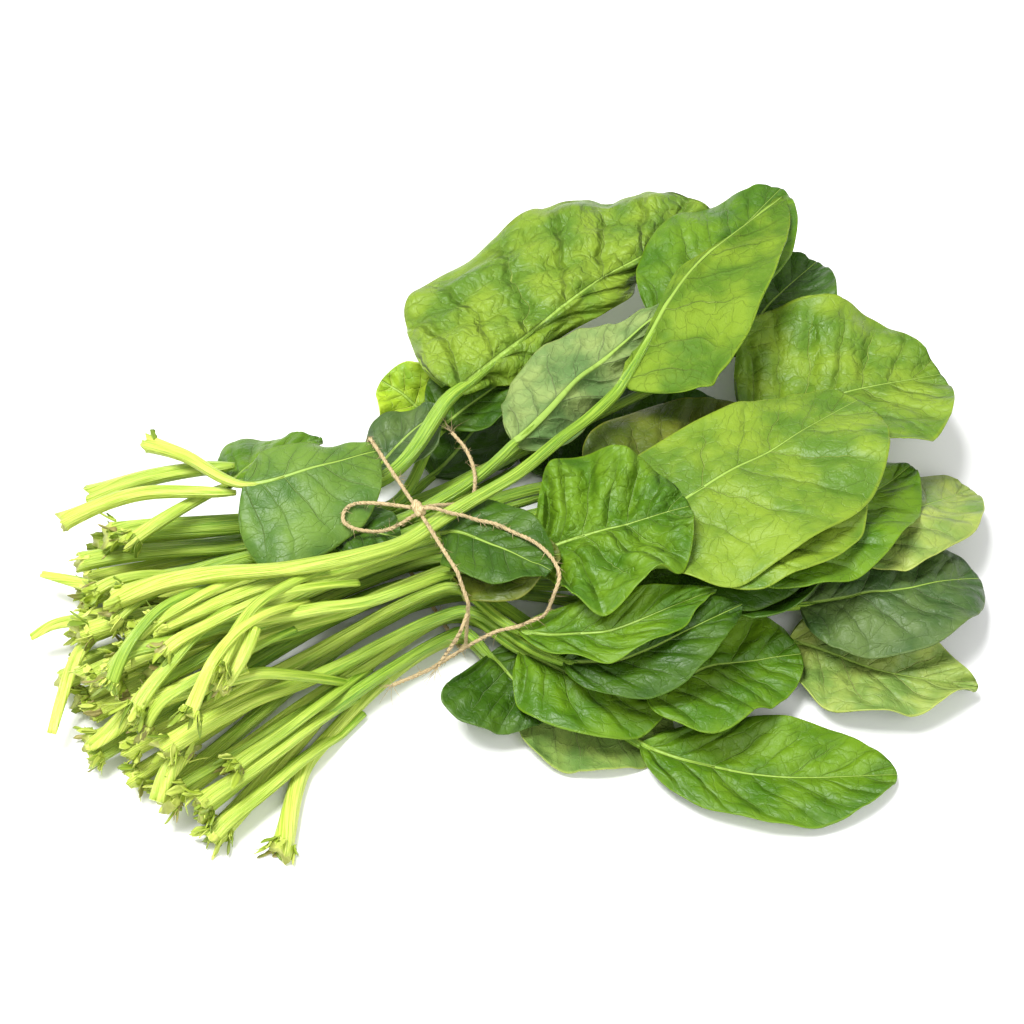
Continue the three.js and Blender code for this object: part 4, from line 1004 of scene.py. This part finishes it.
def torn_material():
    """Thin sheath between pale yellow-green, leaf green and bruised brown, browner at some tips."""
    material, tree, shader = new_material("torn")
    patches = noise(tree, object_place(tree), 160.0, 4.0)
    mixing = maths(tree, "MULTIPLY_ADD", patches, 0.5, point_value(tree, "shade"))
    colour = mixed(tree, between(tree, mixing, 0.3, 0.9), linear((210, 220, 108)), linear((156, 178, 50)))
    colour = mixed(tree, between(tree, mixing, 0.85, 1.05), colour, linear((112, 138, 34)))
    colour = mixed(tree, between(tree, mixing, 1.1, 1.3), colour, linear((152, 142, 80)))
    tree.links.new(colour, shader.inputs["Base Color"])
    shader.inputs["Roughness"].default_value = 0.5
    return material


def torn_piece(name, count):
    """All the strips as one mesh: two faces each, joined round their rims."""
    top, under, shade = torn_strips(count)
    size = STRIP_ROWS * STRIP_COLUMNS
    face, _, _ = quads(STRIP_ROWS, STRIP_COLUMNS, 0)
    one = np.concatenate([face, (face + size)[:, ::-1], rims(STRIP_ROWS, STRIP_COLUMNS)])
    faces = (one[None] + 2 * size * np.arange(count)[:, None, None]).reshape(-1, 4)
    points = np.stack([top, under], 1).reshape(-1, 3)
    shades = np.stack([shade, shade], 1).ravel()
    made = piece_from(name, points, [(faces, 0, {})], (), {"shade": shades}, (torn_material(),))
    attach(made, "root")
    return made


torn_piece("torn_ends", STRIPS_PER_STALK * len(cut_ends))


# ---------------------------------------------------------------------------------------------
# The twine: three strands of tan jute laid round each other. It is drawn tight round all the
# stalks and knotted on top, and its loops and frayed ends lie over the stalks as they fell.
# ---------------------------------------------------------------------------------------------
TWINE_RADIUS = 0.7  # of the laid strands; the loose fibres stand out past it
TWINE_STEP = 0.5  # between two points of its line
TWIST_PITCH = 5.2
STRAND_OFFSET = 0.44  # of a strand's middle from the twine's, as a share of the twine's radius
STRAND_RADIUS = 0.58  # as a share of the twine's
STRAND_SIDES = 6
TWINE_GRAIN = 0.005  # of the skin map from one ring or side to the next
KNOT_Y = -5.0
KNOT_RADIUS = 1.9


def even_line(points, step, closed=False):
    """The same line with points an even step apart."""
    if closed:
        points = np.concatenate([points, points[:1]])
    at = np.concatenate([[0], np.cumsum(np.linalg.norm(np.diff(points, axis=0), axis=1))])
    count = max(int(round(at[-1] / step)), 2)
    s = np.linspace(0, at[-1], count + 1)[: count if closed else count + 1]
    return np.stack([np.interp(s, at, points[:, k]) for k in range(3)], -1)


def tight_turn():
    """The shortest way round everything at the tie: for each direction in the plane across the
    bunch, the farthest point that way, moved out by the twine's radius."""
    around = np.concatenate([points.reshape(-1, 3) for points in near_tie])[:, 1:]
    angle = np.linspace(0, 2 * np.pi, 720, endpoint=False)
    way = np.stack([np.cos(angle), np.sin(angle)], -1)
    farthest = around[np.argmax(around @ way.T, 0)]
    ring = farthest + way * (TWINE_RADIUS + 0.1)
    return even_line(np.column_stack([np.full(len(ring), TIE_X), ring]), TWINE_STEP, closed=True)


def loose_stretch(points):
    """A smooth line through the points, lifted clear of what lies under it over a few millimetres."""
    knots = curve_knots(points)
    line = along_path(knots, np.linspace(0, knots[1][-1], int(knots[1][-1] / TWINE_STEP)))
    round_it = np.linspace(0, 2 * np.pi, 8, endpoint=False)
    offsets = np.stack([np.cos(round_it), np.sin(round_it), 0 * round_it], -1) * 0.7 * TWINE_RADIUS
    tops = laid[squares(line[:, None] + offsets)].max(1)
    need = np.maximum(tops + TWINE_RADIUS - line[:, 2], 0)[:, None]
    line[:, 2] += evened(widest(need, 8), 8)[:, 0]
    return line


def line_frames(line, closed):
    """Two directions square to a line at each of its points, that turn with it as little as the
    vertical allows."""
    ahead, behind = np.roll(line, -1, 0), np.roll(line, 1, 0)
    if not closed:
        ahead[-1], behind[0] = line[-1], line[0]
    along = unit(ahead - behind)
    level = np.where(np.abs(along[:, 0:1]) > 0.9, [[0.0, 0.0, 1.0]], [[1.0, 0.0, 0.0]])
    first = unit(level - along * (level * along).sum(1, keepdims=True))
    return first, np.cross(along, first)


def strand_tubes(line, closed, radius=TWINE_RADIUS):
    """Three uneven tubes that wind round the line, as (rings of points, closed or not)."""
    at = np.concatenate([[0], np.cumsum(np.linalg.norm(np.diff(line, axis=0), axis=1))])
    turns = at[-1] / TWIST_PITCH
    if closed:
        turns = round(turns)
    first, second = line_frames(line, closed)
    tubes = []
    for k in range(3):
        angle = 2 * np.pi * (turns * at / at[-1] * (len(line) - 1) / len(line) + k / 3)
        away = first * np.cos(angle)[:, None] + second * np.sin(angle)[:, None]
        middle = line + STRAND_OFFSET * radius * away
        a, b = line_frames(middle, closed)
        ring = np.linspace(0, 2 * np.pi, STRAND_SIDES, endpoint=False)
        around = a[:, None] * np.cos(ring)[:, None] + b[:, None] * np.sin(ring)[:, None]
        lumps = 1 + 0.16 * np.sin(at / 2.3 + 2 * k) * np.sin(at / 0.9 + k)
        tubes.append((middle[:, None] + around * (STRAND_RADIUS * radius * lumps[:, None, None]), closed))
    return tubes


turn = tight_turn()
top = turn[turn[:, 2] > 20]
knot_y, knot_z = top[np.argmin(np.abs(top[:, 1] - KNOT_Y)), 1:]
side = turn[(turn[:, 1] < 0) & (turn[:, 2] < 30)]
low_y, low_z = side[np.argmax(side[:, 2]), 1:]
LOOSE = [
    # the small loop toward the stalk ends
    [[2, knot_y + 1, knot_z], [-3, knot_y + 5, knot_z], [-10, 6, 44], [-15, 9, 43], [-19, 8, 43],
     [-21, 4, 42], [-17, -1, 41], [-9, -4, 40], [2, knot_y - 1, knot_z]],
    # the large loop over the near leaves and on down the near side
    [[2, knot_y - 1, knot_z], [10, -11, 39], [18, -16, 37], [24, -23, 36], [29, -34, 36], [31, -43, 34],
     [31, -50, 31], [26, -54, 29], [17, -53, 28], [9, -50, 27], [2, -47, 22], [-5, -45, 17],
     [-16, -46, 16], [-27, -42, 10]],
    # the end that turns back toward the far side
    [[2, knot_y + 1, knot_z], [10, -3, 41], [17, -4, 39], [23, -3, 38], [28, 4, 37], [31, 12, 36],
     [32, 20, 36], [31, 27, 37]],
    # the short frayed end
    [[2, low_y, low_z], [-4, -45, 26], [-14, -50, 22]],
]


def twine_material():
    """Dry tan jute, lighter on the fibres that catch the light."""
    material, tree, shader = new_material("twine")
    skin = uv_place(tree, "skin")
    stretched = node(tree, "ShaderNodeMapping", {"Vector": skin, "Scale": (12.0, 160.0, 1.0)})
    fibres = noise(tree, stretched.outputs[0], 6.0, 3.0)
    colour = mixed(tree, between(tree, fibres, 0.3, 0.7), linear((158, 130, 78)), linear((238, 218, 172)))
    tree.links.new(colour, shader.inputs["Base Color"])
    add_bump(tree, shader, fibres, 0.7, 0.0006)
    shader.inputs["Roughness"].default_value = 0.9
    return material


def twine_piece(name, tubes):
    """One mesh of many tubes, each with closed ends unless it runs into itself."""
    points, groups, start = [], [], 0
    for rings, closed in tubes:
        count, sides = rings.shape[:2]
        faces, row_of, column_of = quads(count + int(closed), sides, start, ring=True)
        faces = start + (faces - start) % (count * sides)
        groups.append((faces, 0, {"skin": np.stack([row_of, column_of], -1) * TWINE_GRAIN}))
        points.append(rings.reshape(-1, 3))
        if not closed:
            blank = {"skin": np.zeros((sides, 3, 2))}
            groups += [(cap[:, ::-1], 0, blank) for cap in caps(count, sides, start)]
            points.append(np.stack([rings[0].mean(0), rings[-1].mean(0)]))
        start += count * sides + (0 if closed else 2)
    made = piece_from(name, np.concatenate(points), groups, ("skin",), {}, (twine_material(),))
    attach(made, "root")
    return made


FIBRES_AT_AN_END = 14
FIBRES_ALONG = 420  # to a thousand steps of the line


def fibre_tubes(line, frayed):
    """Loose jute fibres: a fan of them past a frayed end and short ones that stand out along
    the line. Each is start + length (t way + t^2 bend), a three-sided tube that thins to its tip.
    """
    fan = FIBRES_AT_AN_END if frayed else 0
    few = int(FIBRES_ALONG * len(line) / 1000)
    along = draws.integers(4, len(line) - 4, few)
    length = np.concatenate([draws.uniform(3, 9, fan), draws.uniform(1, 3.5, few)])[:, None, None]
    start = np.concatenate([np.tile(line[-1], (fan, 1)), line[along] + draws.normal(0, 0.4, (few, 3))])
    ahead = np.concatenate([np.tile(line[-1] - line[-7], (fan, 1)), line[along + 3] - line[along - 3]])
    spread = np.repeat([0.35, 0.9], [fan, few])[:, None]
    ahead = unit(unit(ahead) + spread * draws.normal(0, 1, ahead.shape))
    bend = draws.normal(0, 0.3, ahead.shape)
    t = np.linspace(0, 1, 6)[:, None]
    middle = start[:, None] + length * (t * ahead[:, None] + t**2 * bend[:, None])
    middle[..., 2] = np.maximum(middle[..., 2], 0.4)
    first = unit(np.cross(ahead, [0.3, 0.2, 0.93]))
    second = np.cross(ahead, first)
    turns = 2 * np.pi * np.arange(3) / 3
    round_it = first[:, None] * np.cos(turns)[:, None] + second[:, None] * np.sin(turns)[:, None]
    thick = (0.13 * (1 - 0.7 * t))[:, None]
    return [(rings, False) for rings in middle[:, :, None] + thick * round_it[:, None]]


knot_line = np.array([[2.0, knot_y + 1.2 * (k - 2), knot_z + 1.2] for k in range(5)])
lines = [(turn, True)] + [(loose_stretch(stretch), False) for stretch in LOOSE]
tubes = [tube for line, closed in lines for tube in strand_tubes(line, closed)]
tubes += strand_tubes(even_line(knot_line, TWINE_STEP), False, KNOT_RADIUS)
for number, (line, _) in enumerate(lines):
    tubes += fibre_tubes(line, frayed=number > 1)  # the turn and the small loop end in the knot
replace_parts(twine_piece("twine_strands", tubes), "twine")


# ---------------------------------------------------------------------------------------------
# The floor, the light and the camera: a plain white surface, a large soft light from above and
# the left, a paler one from the right, and an even bright surround.
# ---------------------------------------------------------------------------------------------
floor_mesh = bpy.data.meshes.new("floor")
floor_mesh.from_pydata([(-6, -6, 0), (6, -6, 0), (6, 6, 0), (-6, 6, 0)], [], [(0, 1, 2, 3)])
floor = bpy.data.objects.new("floor", floor_mesh)
bpy.context.scene.collection.objects.link(floor)
floor_paint, _, floor_shader = new_material("floor")
floor_shader.inputs["Base Color"].default_value = (0.95, 0.95, 0.95, 1.0)
floor_shader.inputs["Roughness"].default_value = 0.9
floor_mesh.materials.append(floor_paint)


def soft_light(name, place, size, power):
    """A square area light that faces the middle of the bunch."""
    light = bpy.data.lights.new(name, "AREA")
    light.shape = "SQUARE"
    light.size = size
    light.energy = power
    made = bpy.data.objects.new(name, light)
    made.location = place
    made.rotation_euler = (-Vector(place)).to_track_quat("-Z", "Y").to_euler()
    bpy.context.scene.collection.objects.link(made)


soft_light("key", (-0.45, 0.3, 1.6), 0.7, 40.0)
soft_light("fill", (-0.1, -1.3, 1.2), 1.2, 15.0)
world = bpy.data.worlds.new("surround")
world.use_nodes = True
world.node_tree.nodes["Background"].inputs["Color"].default_value = (1.0, 1.0, 1.0, 1.0)
world.node_tree.nodes["Background"].inputs["Strength"].default_value = 0.5
bpy.context.scene.world = world

CAMERA_AZIMUTH = math.radians(-28)
CAMERA_ELEVATION = math.radians(50)
CAMERA_DISTANCE = 0.8635
AIM = Vector((0.0111, 0.0335, 0.0))
back = Vector((
    math.sin(CAMERA_AZIMUTH) * math.cos(CAMERA_ELEVATION),
    -math.cos(CAMERA_AZIMUTH) * math.cos(CAMERA_ELEVATION),
    math.sin(CAMERA_ELEVATION),
))
lens = bpy.data.cameras.new("camera")
lens.lens = 85.0
lens.clip_start = 0.05
camera = bpy.data.objects.new("camera", lens)
camera.location = AIM + back * CAMERA_DISTANCE
camera.rotation_euler = back.to_track_quat("Z", "Y").to_euler()
bpy.context.scene.collection.objects.link(camera)
bpy.context.scene.camera = camera
bpy.context.scene.view_settings.view_transform = "Standard"
